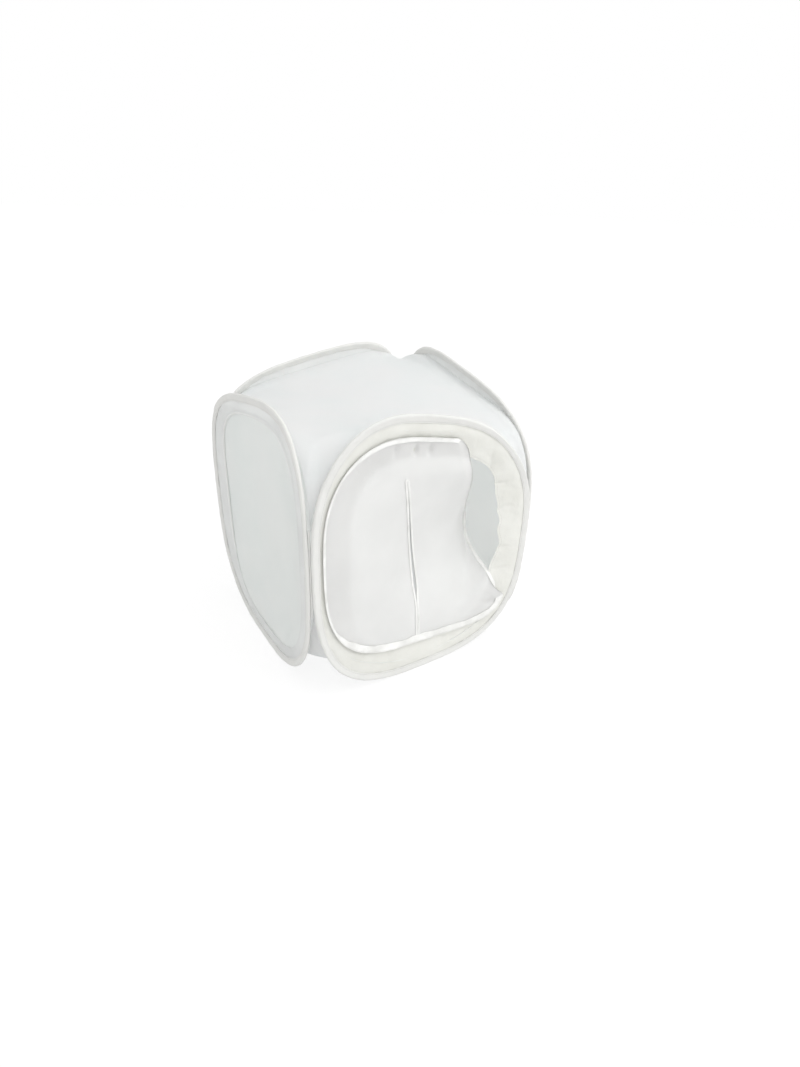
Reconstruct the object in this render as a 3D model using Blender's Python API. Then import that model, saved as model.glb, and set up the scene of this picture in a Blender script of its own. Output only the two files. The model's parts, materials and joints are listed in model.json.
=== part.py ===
"""Pop-up light tent cube: four fabric walls on spring wire hoops, soft top and bottom, front cover."""

import math

import bmesh
import bpy
import numpy as np

# Driving dimensions in metres. The front faces minus Y and the floor is z = 0.
tent_width = 0.600
tent_height = 0.640
corner_rise = 0.058
right_lean = 0.012
wire_diameter = 0.0032
sleeve_diameter = 0.0090
sleeve_cloth = 0.0008
sleeve_slit = 0.0006
flange_width = 0.018
cloth_thickness = 0.0008
layer_gap = 0.0003
pivot_clearance = 0.0002
hoop_exponent_share = 3.0
ferrule_length = 0.040
ferrule_bore = 0.0040
ferrule_diameter = 0.0060
wire_end_gap = 0.0020
seam_roll_diameter = 0.0034
seam_roll_length = 0.200
border_width = 0.072
side_border_width = 0.028
side_border_extra = 0.050
border_lap = 0.006
panel_lap = 0.006
panel_billow = 0.007
top_panel_drop = 0.034
top_panel_sag = 0.012
bottom_panel_sag = 0.047
panel_edge_clearance = 0.0006
cover_side_clearance = 0.0325
cover_end_clearance = 0.062
cover_shift_left = 0.008
cover_shift_up = 0.014
cover_hem_width = 0.015
cover_dip = 0.014
cover_push = 0.088
cover_margin = 0.012
push_margin = 0.022
tape_width = 0.010
tape_inset = 0.002
tape_thickness = 0.0008
slit_offset = -0.045
slit_lean = 0.050
slit_width = 0.0064
slit_end_width = 0.0014
slit_binding_width = 0.009
slit_binding_raise = 0.0010
slit_binding_thickness = 0.0008
backdrop_tape_width = 0.025
backdrop_tape_length = 0.320
backdrop_tape_drop = 0.150

# Shares of the sizes above.
free_edge_start_share = 0.36
free_edge_upper_across_share = 0.635
free_edge_upper_height_share = 0.395
free_edge_lower_across_share = 0.60
free_edge_lower_depth_share = 0.48
free_edge_tip_across_share = 0.89
free_edge_tip_down_share = 0.715
cover_corner_share = 6.0
slit_top_share = 0.68
slit_reach_share = 1.477
top_arch_share = 3.5
bottom_arch_share = 2.8
side_border_fade_share = 2.0
tongue_reach_share = 0.996
tongue_corner_share = 0.018
flare_end_share = 0.88
flare_fade_share = 0.10
cover_second_row_share = 0.84
push_fade_share = 0.45
front_round_share = 0.12
left_round_share = -0.01
right_round_share = -0.18
back_round_share = -0.10
front_taper_share = 0.08
left_taper_share = -0.08
right_taper_share = 0.08
back_taper_share = -0.08
wall_zone_start_share = 0.82
wall_zone_share = 0.14
corner_zone_share = 0.10

# Mesh resolution.
hoop_station_count = 48
wire_side_count = 8
sleeve_arc_count = 7
panel_row_count = 4
top_grid_count = 17
cover_row_count = 5
binding_step_count = 18
merge_threshold = 0.00001

# Values worked out from the driving dimensions.
sleeve_radius = sleeve_diameter / 2
sleeve_bore_radius = sleeve_radius - sleeve_cloth
wire_radius = wire_diameter / 2
wall_offset = sleeve_radius + pivot_clearance
pivot_distance = tent_width / 2 - wall_offset - sleeve_radius
wall_distance = pivot_distance + wall_offset
hoop_half_width = pivot_distance - layer_gap
hoop_half_height = tent_height / 2
half_cloth = cloth_thickness / 2
border_front = -half_cloth - layer_gap
border_back = border_front - cloth_thickness
panel_front = border_back - layer_gap
loop_tape_back = border_front + layer_gap
loop_tape_front = loop_tape_back + tape_thickness
hook_tape_back = loop_tape_front + layer_gap
hook_tape_front = hook_tape_back + tape_thickness
cover_back = hook_tape_front + layer_gap
border_inner = flange_width + border_width
opening_half_width = hoop_half_width - border_inner
opening_half_height = hoop_half_height - border_inner
side_border_inner = flange_width + side_border_width
cover_half_width = hoop_half_width - cover_side_clearance
cover_half_height = hoop_half_height - cover_end_clearance
slit_top = slit_top_share * cover_half_height
slit_length = slit_reach_share * cover_half_height


def clear_scene():
    """Remove every object that the start-up file holds."""
    for thing in list(bpy.data.objects):
        bpy.data.objects.remove(thing, do_unlink=True)


def make_material(name, colour, roughness):
    """Return a Principled material with a plain colour."""
    material = bpy.data.materials.new(name)
    material.use_nodes = True
    shader = material.node_tree.nodes["Principled BSDF"]
    shader.inputs["Base Color"].default_value = colour
    shader.inputs["Roughness"].default_value = roughness
    material.diffuse_color = colour
    return material


def fade(value):
    """Return a smooth step from nought to one."""
    share = min(max(value, 0.0), 1.0)
    return share * share * (3.0 - 2.0 * share)


def wall_weight(outward, across):
    """Return how much a place belongs to one wall, from nought inside the tent to one on the wall."""
    near = fade((outward - wall_zone_start_share) / wall_zone_share)
    clear = fade((outward - across) / corner_zone_share + 0.5)
    return near * clear


def settle(point):
    """Move a point of the plain cube to where the sprung hoops hold it: rounder, tapered or leaning."""
    across = point[0] / wall_distance
    along = point[1] / wall_distance
    middle = tent_height / 2
    rise = (point[2] - middle) / middle
    front = wall_weight(-along, abs(across))
    back = wall_weight(along, abs(across))
    left = wall_weight(-across, abs(along))
    right = wall_weight(across, abs(along))
    bow = rise * abs(rise)
    squeeze = (front * front_round_share + back * back_round_share) * abs(across) ** 3
    squeeze += (left * left_round_share + right * right_round_share) * abs(along) ** 3
    across_taper = (front * front_taper_share + back * back_taper_share) * bow * (1.0 - across ** 8)
    along_taper = (left * left_taper_share + right * right_taper_share) * bow * (1.0 - along ** 8)
    lean = right * right_lean * max(bow, 0.0) * (1.0 - along ** 8)
    level = middle + (point[2] - middle) * (1.0 - squeeze)
    level = level * (1.0 + corner_rise * across * along / tent_height)
    return (float(point[0] * (1.0 - across_taper) - lean), float(point[1] * (1.0 - along_taper)), float(level))


def make_object(name, points, faces, colour, roughness=0.8):
    """Build one closed body from its points and faces."""
    mesh = bpy.data.meshes.new(name)
    mesh.from_pydata([settle(point) for point in points], [], faces)
    work = bmesh.new()
    work.from_mesh(mesh)
    bmesh.ops.remove_doubles(work, verts=work.verts, dist=merge_threshold)
    bmesh.ops.recalc_face_normals(work, faces=work.faces)
    work.to_mesh(mesh)
    work.free()
    mesh.update()
    thing = bpy.data.objects.new(name, mesh)
    bpy.context.scene.collection.objects.link(thing)
    mesh.materials.append(make_material(name + "_material", colour, roughness))
    return thing


def hoop_path(count):
    """Return evenly spaced points and outward normals on the hoop's outer outline."""
    fine = count * 40
    angles = np.linspace(0.0, 2 * math.pi, fine + 1)
    power = 2.0 / hoop_exponent_share
    across = np.sign(np.sin(angles)) * np.abs(np.sin(angles)) ** power * hoop_half_width
    up = np.sign(np.cos(angles)) * np.abs(np.cos(angles)) ** power * hoop_half_height
    lengths = np.concatenate([[0.0], np.cumsum(np.hypot(np.diff(across), np.diff(up)))])
    stops = np.linspace(0.0, lengths[-1], count + 1)[:-1]
    points = np.stack([np.interp(stops, lengths, across), np.interp(stops, lengths, up)], 1)
    ahead = np.roll(points, -1, 0) - np.roll(points, 1, 0)
    normals = np.stack([-ahead[:, 1], ahead[:, 0]], 1)
    normals = normals / np.linalg.norm(normals, axis=1)[:, None]
    return points, normals


path_points, path_normals = hoop_path(hoop_station_count)

# Each wall has a right-hand direction and an outward direction.
wall_frames = {
    "front": (np.array([1.0, 0.0, 0.0]), np.array([0.0, -1.0, 0.0])),
    "right": (np.array([0.0, 1.0, 0.0]), np.array([1.0, 0.0, 0.0])),
    "back": (np.array([-1.0, 0.0, 0.0]), np.array([0.0, 1.0, 0.0])),
    "left": (np.array([0.0, -1.0, 0.0]), np.array([-1.0, 0.0, 0.0])),
}
up_direction = np.array([0.0, 0.0, 1.0])


def on_wall(side, across, up, outward):
    """Return the point of one wall at the given place and depth."""
    right, out = wall_frames[side]
    height = up + hoop_half_height
    return right * across + up_direction * height + out * (wall_distance + outward)


def inset(station, distance):
    """Return the place on a wall that lies a distance inside the outer outline."""
    index = station % hoop_station_count
    return path_points[index] - path_normals[index] * distance


def sweep_faces(ring_count, side_count, closed):
    """Return the faces of a swept section, capped at its ends when it is open."""
    faces = []
    last = ring_count if closed else ring_count - 1
    for ring in range(last):
        following = (ring + 1) % ring_count
        for side in range(side_count):
            other = (side + 1) % side_count
            first = ring * side_count
            second = following * side_count
            faces.append((first + side, first + other, second + other, second + side))
    if not closed:
        faces.append(tuple(range(side_count)))
        end = (ring_count - 1) * side_count
        faces.append(tuple(end + side for side in range(side_count)))
    return faces


def section_sweep(name, side, stations, section, closed, colour, roughness=0.8):
    """Sweep a section of inset and depth pairs along stations of the hoop's outline."""
    points = []
    for station in stations:
        for distance, depth in section:
            place = inset(station, distance)
            points.append(on_wall(side, place[0], place[1], depth))
    faces = sweep_faces(len(stations), len(section), closed)
    return make_object(name, points, faces, colour, roughness)


def round_path(name, side, places, radius, colour, roughness):
    """Make a round rod along places of one wall."""
    points = []
    places = [np.array(place) for place in places]
    for index, place in enumerate(places):
        before = places[max(index - 1, 0)]
        after = places[min(index + 1, len(places) - 1)]
        along = (after - before) / np.linalg.norm(after - before)
        across = np.array([-along[1], along[0]])
        for step in range(wire_side_count):
            angle = 2 * math.pi * step / wire_side_count
            spot = place + across * (math.cos(angle) * radius)
            points.append(on_wall(side, spot[0], spot[1], math.sin(angle) * radius))
    faces = sweep_faces(len(places), wire_side_count, False)
    return make_object(name, points, faces, colour, roughness)


def make_hoop(side):
    """Make the spring wire of one wall, with its two ends meeting at the bottom."""
    places = []
    bottom = hoop_station_count // 2
    for step in range(1, hoop_station_count):
        places.append(inset(bottom + step, sleeve_radius))
    start = inset(bottom, sleeve_radius)
    half_gap = wire_end_gap / 2
    end_before = (start[0] + half_gap, start[1])
    end_after = (start[0] - half_gap, start[1])
    if places[0][0] > start[0]:
        places = [np.array(end_before)] + places + [np.array(end_after)]
    else:
        places = [np.array(end_after)] + places + [np.array(end_before)]
    return round_path(side + "_hoop", side, places, wire_radius, (0.35, 0.36, 0.38, 1.0), 0.35)


def make_ferrule(side):
    """Make the crimped tube that joins the wire's two ends."""
    bottom = hoop_station_count // 2
    centre = inset(bottom, sleeve_radius)
    following = inset(bottom + 1, sleeve_radius)
    previous = inset(bottom - 1, sleeve_radius)
    half = ferrule_length / 2
    reach = half / np.linalg.norm(following - centre)
    places = [
        centre + (previous - centre) * reach,
        centre,
        centre + (following - centre) * reach,
    ]
    inner = ferrule_bore / 2
    outer = ferrule_diameter / 2
    points = []
    for radius in (outer, inner):
        for index, place in enumerate(places):
            before = places[max(index - 1, 0)]
            after = places[min(index + 1, 2)]
            along = (after - before) / np.linalg.norm(after - before)
            across = np.array([-along[1], along[0]])
            for step in range(wire_side_count):
                angle = 2 * math.pi * step / wire_side_count
                spot = place + across * (math.cos(angle) * radius)
                points.append(on_wall(side, spot[0], spot[1], math.sin(angle) * radius))
    faces = []
    layer = 3 * wire_side_count
    for step in range(wire_side_count):
        other = (step + 1) % wire_side_count
        for ring in range(2):
            low = ring * wire_side_count
            high = (ring + 1) * wire_side_count
            faces.append((low + step, low + other, high + other, high + step))
            faces.append((layer + low + other, layer + low + step, layer + high + step, layer + high + other))
        faces.append((step, layer + step, layer + other, other))
        top = 2 * wire_side_count
        faces.append((top + other, layer + top + other, layer + top + step, top + step))
    return make_object(side + "_hoop_ferrule", points, faces, (0.62, 0.63, 0.65, 1.0), 0.3)


def sleeve_section():
    """Return the section of the folded cloth sleeve with its flat flange."""
    centre = sleeve_radius
    section = []
    opening = math.asin(half_cloth / sleeve_radius)
    slit_angle = (cloth_thickness + sleeve_slit) / sleeve_bore_radius
    for step in range(sleeve_arc_count + 1):
        share = step / sleeve_arc_count
        angle = opening + (2 * math.pi - opening - slit_angle) * share
        section.append((centre + math.cos(angle) * sleeve_radius, math.sin(angle) * sleeve_radius))
    for step in range(sleeve_arc_count + 1):
        share = 1.0 - step / sleeve_arc_count
        start = -math.asin(half_cloth / sleeve_bore_radius)
        angle = start + (2 * math.pi - start - slit_angle) * share
        section.append((centre + math.cos(angle) * sleeve_bore_radius, math.sin(angle) * sleeve_bore_radius))
    section.append((flange_width, -half_cloth))
    section.append((flange_width, half_cloth))
    return section


def make_sleeve(side):
    """Make the cloth sleeve round the wire and the flange that carries the wall."""
    stations = list(range(hoop_station_count))
    colour = (0.78, 0.78, 0.75, 1.0)
    return section_sweep(side + "_hoop_sleeve", side, stations, sleeve_section(), True, colour)


def side_inner(side, station):
    """Return how far a side wall's border reaches in: it is wider along the wall's rear edge."""
    rear = {"left": -1.0, "right": 1.0, "back": 0.0}[side]
    share = max(rear * path_points[station][0] / hoop_half_width, 0.0)
    return side_border_inner + side_border_extra * share ** side_border_fade_share


def make_border(side):
    """Make the heavier cloth band that is sewn behind the flange."""
    stations = list(range(hoop_station_count))
    outer = flange_width - border_lap
    colour = (0.86, 0.86, 0.84, 1.0)
    points = []
    for station in stations:
        inner = border_inner if side == "front" else side_inner(side, station)
        for distance, depth in ((outer, border_back), (inner, border_back), (inner, border_front), (outer, border_front)):
            place = inset(station, distance)
            points.append(on_wall(side, place[0], place[1], depth))
    return make_object(side + "_border", points, sweep_faces(len(stations), 4, True), colour)


def make_wall_panel(side):
    """Make the thin centre cloth of one wall, billowing slightly inwards."""
    points = []
    for layer in range(2):
        depth = panel_front - layer * cloth_thickness
        for row in range(panel_row_count):
            share = 1.0 - row / panel_row_count
            for station in range(hoop_station_count):
                place = inset(station, side_inner(side, station) - panel_lap) * share
                billow = panel_billow * (1.0 - share * share)
                points.append(on_wall(side, place[0], place[1], depth - billow))
        points.append(on_wall(side, 0.0, 0.0, depth - panel_billow))
    faces = polar_faces(panel_row_count)
    return make_object(side + "_panel", points, faces, (0.84, 0.86, 0.88, 1.0))


def polar_faces(row_count):
    """Return the faces of a two-layer sheet made of rings round one centre point."""
    faces = []
    size = row_count * hoop_station_count + 1
    for layer in range(2):
        base = layer * size
        for station in range(hoop_station_count):
            other = (station + 1) % hoop_station_count
            for row in range(row_count - 1):
                low = base + row * hoop_station_count
                high = low + hoop_station_count
                faces.append((low + station, low + other, high + station))
                faces.append((low + other, high + other, high + station))
            last = base + (row_count - 1) * hoop_station_count
            faces.append((last + station, last + other, base + size - 1))
    for station in range(hoop_station_count):
        other = (station + 1) % hoop_station_count
        faces.append((station, size + station, size + other, other))
    return faces


def grid_sheet(name, outer, inner, colour):
    """Make a closed sheet between two square grids of points."""
    rows = len(outer)
    points = [point for row in outer for point in row] + [point for row in inner for point in row]
    layer = rows * rows
    faces = []
    for row in range(rows - 1):
        for column in range(rows - 1):
            first = row * rows + column
            second = first + rows
            faces.append((first, first + 1, second + 1))
            faces.append((first, second + 1, second))
            faces.append((layer + first, layer + second + 1, layer + first + 1))
            faces.append((layer + first, layer + second, layer + second + 1))
    for step in range(rows - 1):
        last = (rows - 1) * rows
        faces.append((step + 1, step, layer + step, layer + step + 1))
        faces.append((last + step, last + step + 1, layer + last + step + 1, layer + last + step))
        near = step * rows
        faces.append((near, near + rows, layer + near + rows, layer + near))
        far = step * rows + rows - 1
        faces.append((far + rows, far, layer + far, layer + far + rows))
    return make_object(name, points, faces, colour)


def spread(value):
    """Move a grid position towards the edges, where the cloth bends most."""
    size = 1.0 - (1.0 - abs(value)) ** 1.7
    return math.copysign(size * tongue_reach_share, value)


def arch(across, along, corner_share):
    """Return the height share of the saddle that meets all four hoops."""
    product = abs(across * along)
    return (1.0 - product ** corner_share) ** (1.0 / hoop_exponent_share)


def edge_flare(across, along, reach):
    """Return how far an edge of the soft cloth moves out to meet the border it is sewn to."""
    target = wall_distance + border_back - layer_gap
    clear = min(max((flare_end_share - abs(across)) / flare_fade_share, 0.0), 1.0)
    return math.copysign((target - reach * tongue_reach_share) * clear * along ** 12, along)


def soft_grid(direction, sag, corner_share, floor):
    """Return the outer grid of the top or bottom cloth."""
    reach = pivot_distance - panel_edge_clearance
    height = hoop_half_height - top_panel_drop
    grid = []
    for row in range(top_grid_count + 1):
        line = []
        along = spread(2.0 * row / top_grid_count - 1.0)
        for column in range(top_grid_count + 1):
            across = spread(2.0 * column / top_grid_count - 1.0)
            pull = 1.0 - tongue_corner_share * (across * along) ** 8
            dip = sag * (1.0 - across ** 4) * (1.0 - along ** 4)
            level = hoop_half_height + direction * height * arch(across, along, corner_share) - dip
            if floor:
                level = max(level, 0.0)
            x_place = across * reach * pull + edge_flare(along, across, reach)
            y_place = along * reach * pull + edge_flare(across, along, reach)
            line.append(np.array([x_place, y_place, level]))
        grid.append(line)
    return grid


def thicken(grid, direction):
    """Return the grid moved inwards by the cloth's thickness."""
    rows = len(grid)
    field = np.array(grid)
    across = np.gradient(field, axis=1)
    along = np.gradient(field, axis=0)
    normals = np.cross(across, along)
    normals = normals / np.linalg.norm(normals, axis=2)[:, :, None]
    moved = field - normals * direction * cloth_thickness
    return [[moved[row][column] for column in range(rows)] for row in range(rows)]


def make_top_panel():
    """Make the soft top, which runs down between the hoops at each corner."""
    outer = soft_grid(1.0, top_panel_sag, top_arch_share, False)
    return grid_sheet("top_panel", outer, thicken(outer, 1.0), (0.88, 0.90, 0.91, 1.0))


def make_bottom_panel():
    """Make the soft bottom, whose middle lies flat on the table."""
    outer = soft_grid(-1.0, bottom_panel_sag, bottom_arch_share, True)
    return grid_sheet("bottom_panel", outer, thicken(outer, -1.0), (0.85, 0.86, 0.87, 1.0))


def cover_depth(across, up):
    """Return how far the back of the front cover lies outside the wall's middle plane."""
    width = opening_half_width - cover_margin
    height = opening_half_height - cover_margin
    inside = 1.0 - (abs(across) / width) ** hoop_exponent_share - (abs(up) / height) ** hoop_exponent_share
    dip = cover_dip * max(inside, 0.0) ** 2
    limit = opening_half_height - push_margin
    shape = max(1.0 - (up / limit) ** 2, 0.0)
    ramp = max(across / opening_half_width + 1.0, 0.0) / 2.0
    clear = min(max(inside / push_fade_share, 0.0), 1.0)
    push = cover_push * ramp ** 2 * shape ** 2 * clear ** 2 * (3.0 - 2.0 * clear)
    return cover_back - dip - push


def free_edge_place(share):
    """Return the place of the cover's loose right edge, from its top to its lower tip."""
    width = cover_half_width
    height = cover_half_height
    middle = np.array([-cover_shift_left, cover_shift_up])
    start = np.array([free_edge_start_share * width, height * top_share(free_edge_start_share)]) + middle
    tip = np.array([free_edge_tip_across_share * width, -free_edge_tip_down_share * height])
    upper = np.array([free_edge_upper_across_share * width, free_edge_upper_height_share * height])
    lower = np.array([free_edge_lower_across_share * width, -free_edge_lower_depth_share * height])
    rest = 1.0 - share
    blend = start * rest ** 3 + tip * share ** 3
    blend = blend + upper * (3.0 * rest ** 2 * share) + lower * (3.0 * rest * share ** 2)
    return blend


def top_share(across_share):
    """Return the height share of the outline at a share of its half width."""
    return (1.0 - across_share ** hoop_exponent_share) ** (1.0 / hoop_exponent_share)


def cover_outline(station):
    """Return the place of the cover's hemmed edge, which is squarer at its lower right corner."""
    share = path_points[station] / np.array([hoop_half_width, hoop_half_height])
    if share[0] > 0.0 > share[1]:
        total = abs(share[0]) ** cover_corner_share + abs(share[1]) ** cover_corner_share
        share = share / total ** (1.0 / cover_corner_share)
    middle = np.array([-cover_shift_left, cover_shift_up])
    return share * np.array([cover_half_width, cover_half_height]) + middle


def cover_edge():
    """Return the boundary places of the front cover, one for each station."""
    places = [cover_outline(station) for station in range(hoop_station_count)]
    width = cover_half_width
    height = cover_half_height
    loose = []
    for station, place in enumerate(places):
        past_top = place[1] > 0.0 and place[0] > free_edge_start_share * width
        past_side = place[0] > 0.0 and 0.0 >= place[1] > -free_edge_tip_down_share * height
        if past_top or past_side:
            loose.append(station)
    for index, station in enumerate(loose):
        share = (index + 0.5) / len(loose)
        places[station] = free_edge_place(share)
    return places, loose


cover_places, loose_stations = cover_edge()


def cover_rows():
    """Return the rows of places that make up the front cover, from its edge to its middle."""
    edge = [np.array(place) for place in cover_places]
    second = []
    for station in range(hoop_station_count):
        if station in loose_stations:
            second.append(edge[station] * cover_second_row_share)
        else:
            second.append(inset(station, border_inner + cover_margin / 2))
    hem = []
    for station in range(hoop_station_count):
        inward = second[station] - edge[station]
        share = cover_hem_width / np.linalg.norm(inward)
        hem.append(edge[station] + inward * share)
    rows = [edge, hem, second]
    for row in range(1, cover_row_count):
        share = 1.0 - row / cover_row_count
        rows.append([place * share for place in second])
    return rows


def make_front_cover():
    """Make the loose front cloth with its lens slit."""
    rows = cover_rows()
    points = []
    for layer in range(2):
        lift = layer * cloth_thickness
        for row in rows:
            for place in row:
                depth = cover_depth(place[0], place[1]) + lift
                points.append(on_wall("front", place[0], place[1], depth))
        points.append(on_wall("front", 0.0, 0.0, cover_depth(0.0, 0.0) + lift))
    faces = polar_faces(len(rows))
    cover = make_object("front_cover", points, faces, (0.90, 0.90, 0.90, 1.0))
    cut = cover.modifiers.new("lens_slit", "BOOLEAN")
    cut.operation = "DIFFERENCE"
    cut.solver = "EXACT"
    cut.object = make_slit_cutter()
    return cover


def slit_place(share):
    """Return the place of the slit's middle line and the slit's width at a share of its length."""
    up = slit_top - slit_length * share
    across = slit_offset + slit_lean * (share - 0.5)
    swell = max(math.sin(math.pi * min(share / 0.9, 1.0)), 0.0)
    width = slit_end_width + (slit_width - slit_end_width) * swell
    return across, up, width


def make_slit_cutter():
    """Make the tool that opens the lens slit."""
    outline = []
    for step in range(binding_step_count + 1):
        across, up, width = slit_place(step / binding_step_count)
        outline.append((across + width / 2, up))
    for step in range(binding_step_count, -1, -1):
        across, up, width = slit_place(step / binding_step_count)
        outline.append((across - width / 2, up))
    reach = cover_push + cover_dip
    points = [on_wall("front", across, up, reach) for across, up in outline]
    points += [on_wall("front", across, up, -2 * reach) for across, up in outline]
    count = len(outline)
    faces = [tuple(range(count)), tuple(range(2 * count - 1, count - 1, -1))]
    for step in range(count):
        other = (step + 1) % count
        faces.append((other, step, count + step, count + other))
    cutter = make_object("lens_slit_cutter", points, faces, (0.5, 0.5, 0.5, 1.0))
    cutter.hide_render = True
    cutter.display_type = "WIRE"
    return cutter


def make_slit_binding():
    """Make the sewn band that runs up one side of the slit, over its end and down the other."""
    lines = []
    for side in (1.0, -1.0):
        leg = []
        for step in range(binding_step_count + 1):
            across, up, width = slit_place(step / binding_step_count)
            near = width / 2 + layer_gap
            leg.append(((across + side * near, up), (across + side * (near + slit_binding_width), up)))
        lines.append(leg)
    across, up, width = slit_place(0.0)
    radius = width / 2 + layer_gap
    turn = []
    for step in range(1, 8):
        angle = math.pi * step / 8
        inner = (across + math.cos(angle) * radius, up + math.sin(angle) * radius)
        wide = radius + slit_binding_width
        outer = (across + math.cos(angle) * wide, up + math.sin(angle) * wide)
        turn.append((inner, outer))
    track = list(reversed(lines[0])) + turn + lines[1]
    points = []
    for inner, outer in track:
        for place, lift in ((inner, 0.0), (outer, 0.0), (outer, 1.0), (inner, 1.0)):
            base = cover_depth(place[0], place[1]) + cloth_thickness + slit_binding_raise
            points.append(on_wall("front", place[0], place[1], base + lift * slit_binding_thickness))
    faces = sweep_faces(len(track), 4, False)
    return make_object("slit_binding", points, faces, (0.93, 0.93, 0.92, 1.0))


def make_cover_hem():
    """Make the folded hem on the front face, all round the cover's edge."""
    rows = cover_rows()
    points = []
    for station in range(hoop_station_count):
        for row, lift in ((0, 0.0), (1, 0.0), (1, cloth_thickness), (0, cloth_thickness)):
            place = rows[row][station]
            depth = cover_depth(place[0], place[1]) + cloth_thickness + layer_gap + lift
            points.append(on_wall("front", place[0], place[1], depth))
    faces = []
    for station in range(hoop_station_count):
        near = station * 4
        far = ((station + 1) % hoop_station_count) * 4
        faces.append((near, far, near + 1))
        faces.append((far, far + 1, near + 1))
        faces.append((near + 3, near + 2, far + 3))
        faces.append((far + 3, near + 2, far + 2))
        faces.append((near, near + 3, far + 3, far))
        faces.append((near + 1, far + 1, far + 2, near + 2))
    return make_object("front_cover_hem", points, faces, (0.95, 0.95, 0.94, 1.0))


def tape_stations():
    """Return the run of stations where the cover is pressed onto the border."""
    first = loose_stations[-1] + 2
    last = loose_stations[0] - 2 + hoop_station_count
    return list(range(first, last + 1))


def make_tape(name, back, front):
    """Make a tape that follows the fastened part of the cover's edge."""
    edge, _, second = cover_rows()[:3]
    far = tape_inset + tape_width
    points = []
    stations = tape_stations()
    for station in stations:
        index = station % hoop_station_count
        inward = second[index] - edge[index]
        inward = inward / np.linalg.norm(inward)
        for distance, depth in ((tape_inset, back), (far, back), (far, front), (tape_inset, front)):
            place = edge[index] + inward * distance
            points.append(on_wall("front", place[0], place[1], depth))
    faces = sweep_faces(len(stations), 4, False)
    return make_object(name, points, faces, (0.90, 0.90, 0.90, 1.0))


def make_front_tapes():
    """Make the loop tape on the border and the hook tape on the cover's back."""
    make_tape("border_loop_tape", loop_tape_back, loop_tape_front)
    make_tape("cover_hook_tape", hook_tape_back, hook_tape_front)


def make_backdrop_tape():
    """Make the loop tape inside the back wall that holds a hanging background cloth."""
    top = hoop_half_height - backdrop_tape_drop
    bottom = top - backdrop_tape_width
    half = backdrop_tape_length / 2
    share = bottom / (hoop_half_height - side_border_inner + panel_lap)
    billow = panel_billow * (1.0 - share * share)
    front = panel_front - cloth_thickness - billow - layer_gap
    back = front - tape_thickness
    points = []
    for depth in (front, back):
        for across, up in ((-half, bottom), (half, bottom), (half, top), (-half, top)):
            points.append(on_wall("back", across, up, depth))
    faces = [(0, 1, 2, 3), (7, 6, 5, 4), (0, 4, 5, 1), (1, 5, 6, 2), (2, 6, 7, 3), (3, 7, 4, 0)]
    return make_object("backdrop_loop_tape", points, faces, (0.90, 0.90, 0.90, 1.0))


def make_corner_seams():
    """Make the sewn rolls that join neighbouring hoops, each one on a fold axis."""
    corners = {
        "front_left_seam": (-1.0, -1.0),
        "front_right_seam": (1.0, -1.0),
        "back_left_seam": (-1.0, 1.0),
        "back_right_seam": (1.0, 1.0),
    }
    for name, (across, along) in corners.items():
        points = []
        for level in (hoop_half_height - seam_roll_length / 2, hoop_half_height + seam_roll_length / 2):
            for step in range(wire_side_count):
                angle = 2 * math.pi * step / wire_side_count
                x_place = across * pivot_distance + math.cos(angle) * seam_roll_diameter / 2
                y_place = along * pivot_distance + math.sin(angle) * seam_roll_diameter / 2
                points.append(np.array([x_place, y_place, level]))
        faces = sweep_faces(2, wire_side_count, False)
        make_object(name, points, faces, (0.84, 0.84, 0.82, 1.0))


def build():
    """Build the whole tent."""
    clear_scene()
    for side in ("front", "left", "right", "back"):
        make_hoop(side)
        make_ferrule(side)
        make_sleeve(side)
        make_border(side)
    for side in ("left", "right", "back"):
        make_wall_panel(side)
    make_top_panel()
    make_bottom_panel()
    make_front_cover()
    make_cover_hem()
    make_slit_binding()
    make_front_tapes()
    make_backdrop_tape()
    make_corner_seams()


build()
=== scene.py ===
"""Dress the light tent cube: cloth walls on sprung hoops, a soft top and bottom, and a loose front cover."""

import json
import logging
import math
from dataclasses import dataclass
from enum import Enum

import bmesh
import bpy
import numpy as np
from bpy.types import ID, Material, Mesh, Node, NodeSocket, NodeTree, Object
from mathutils import Matrix


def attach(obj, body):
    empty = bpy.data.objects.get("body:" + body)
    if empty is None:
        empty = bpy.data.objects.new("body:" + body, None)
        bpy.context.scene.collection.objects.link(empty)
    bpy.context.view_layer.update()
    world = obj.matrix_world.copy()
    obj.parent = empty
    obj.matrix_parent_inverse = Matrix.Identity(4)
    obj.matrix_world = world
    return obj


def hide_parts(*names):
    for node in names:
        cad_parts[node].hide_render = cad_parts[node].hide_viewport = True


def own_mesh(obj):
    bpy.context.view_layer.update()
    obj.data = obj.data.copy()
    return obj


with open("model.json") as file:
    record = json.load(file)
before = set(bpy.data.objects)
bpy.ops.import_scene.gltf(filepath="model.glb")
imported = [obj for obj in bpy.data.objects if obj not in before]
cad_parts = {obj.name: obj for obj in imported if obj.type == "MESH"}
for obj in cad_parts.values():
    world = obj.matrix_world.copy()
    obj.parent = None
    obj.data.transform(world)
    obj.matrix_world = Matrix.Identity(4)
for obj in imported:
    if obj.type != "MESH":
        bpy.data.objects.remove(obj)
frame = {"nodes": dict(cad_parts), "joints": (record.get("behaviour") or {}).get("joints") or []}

log = logging.getLogger("light_tent")
CLOTH_METRES = "cloth_metres"
# A wave texture of this scale repeats once in each unit.
WAVE_PERIOD = math.pi / 10.0
# Points nearer than this, in metres, are one point.
WELD = 0.000002
TINY = 1e-9
# The index of refraction of nylon. That of polyester is about the same.
FIBRE_IOR = 1.53

Array = np.ndarray
Place = tuple[float, float]
# An arc's first angle, its last angle and its number of places.
Arc = tuple[float, float, int]
# The size of one dent in metres, along each direction of a field of places.
Dent = tuple[float, ...]


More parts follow.
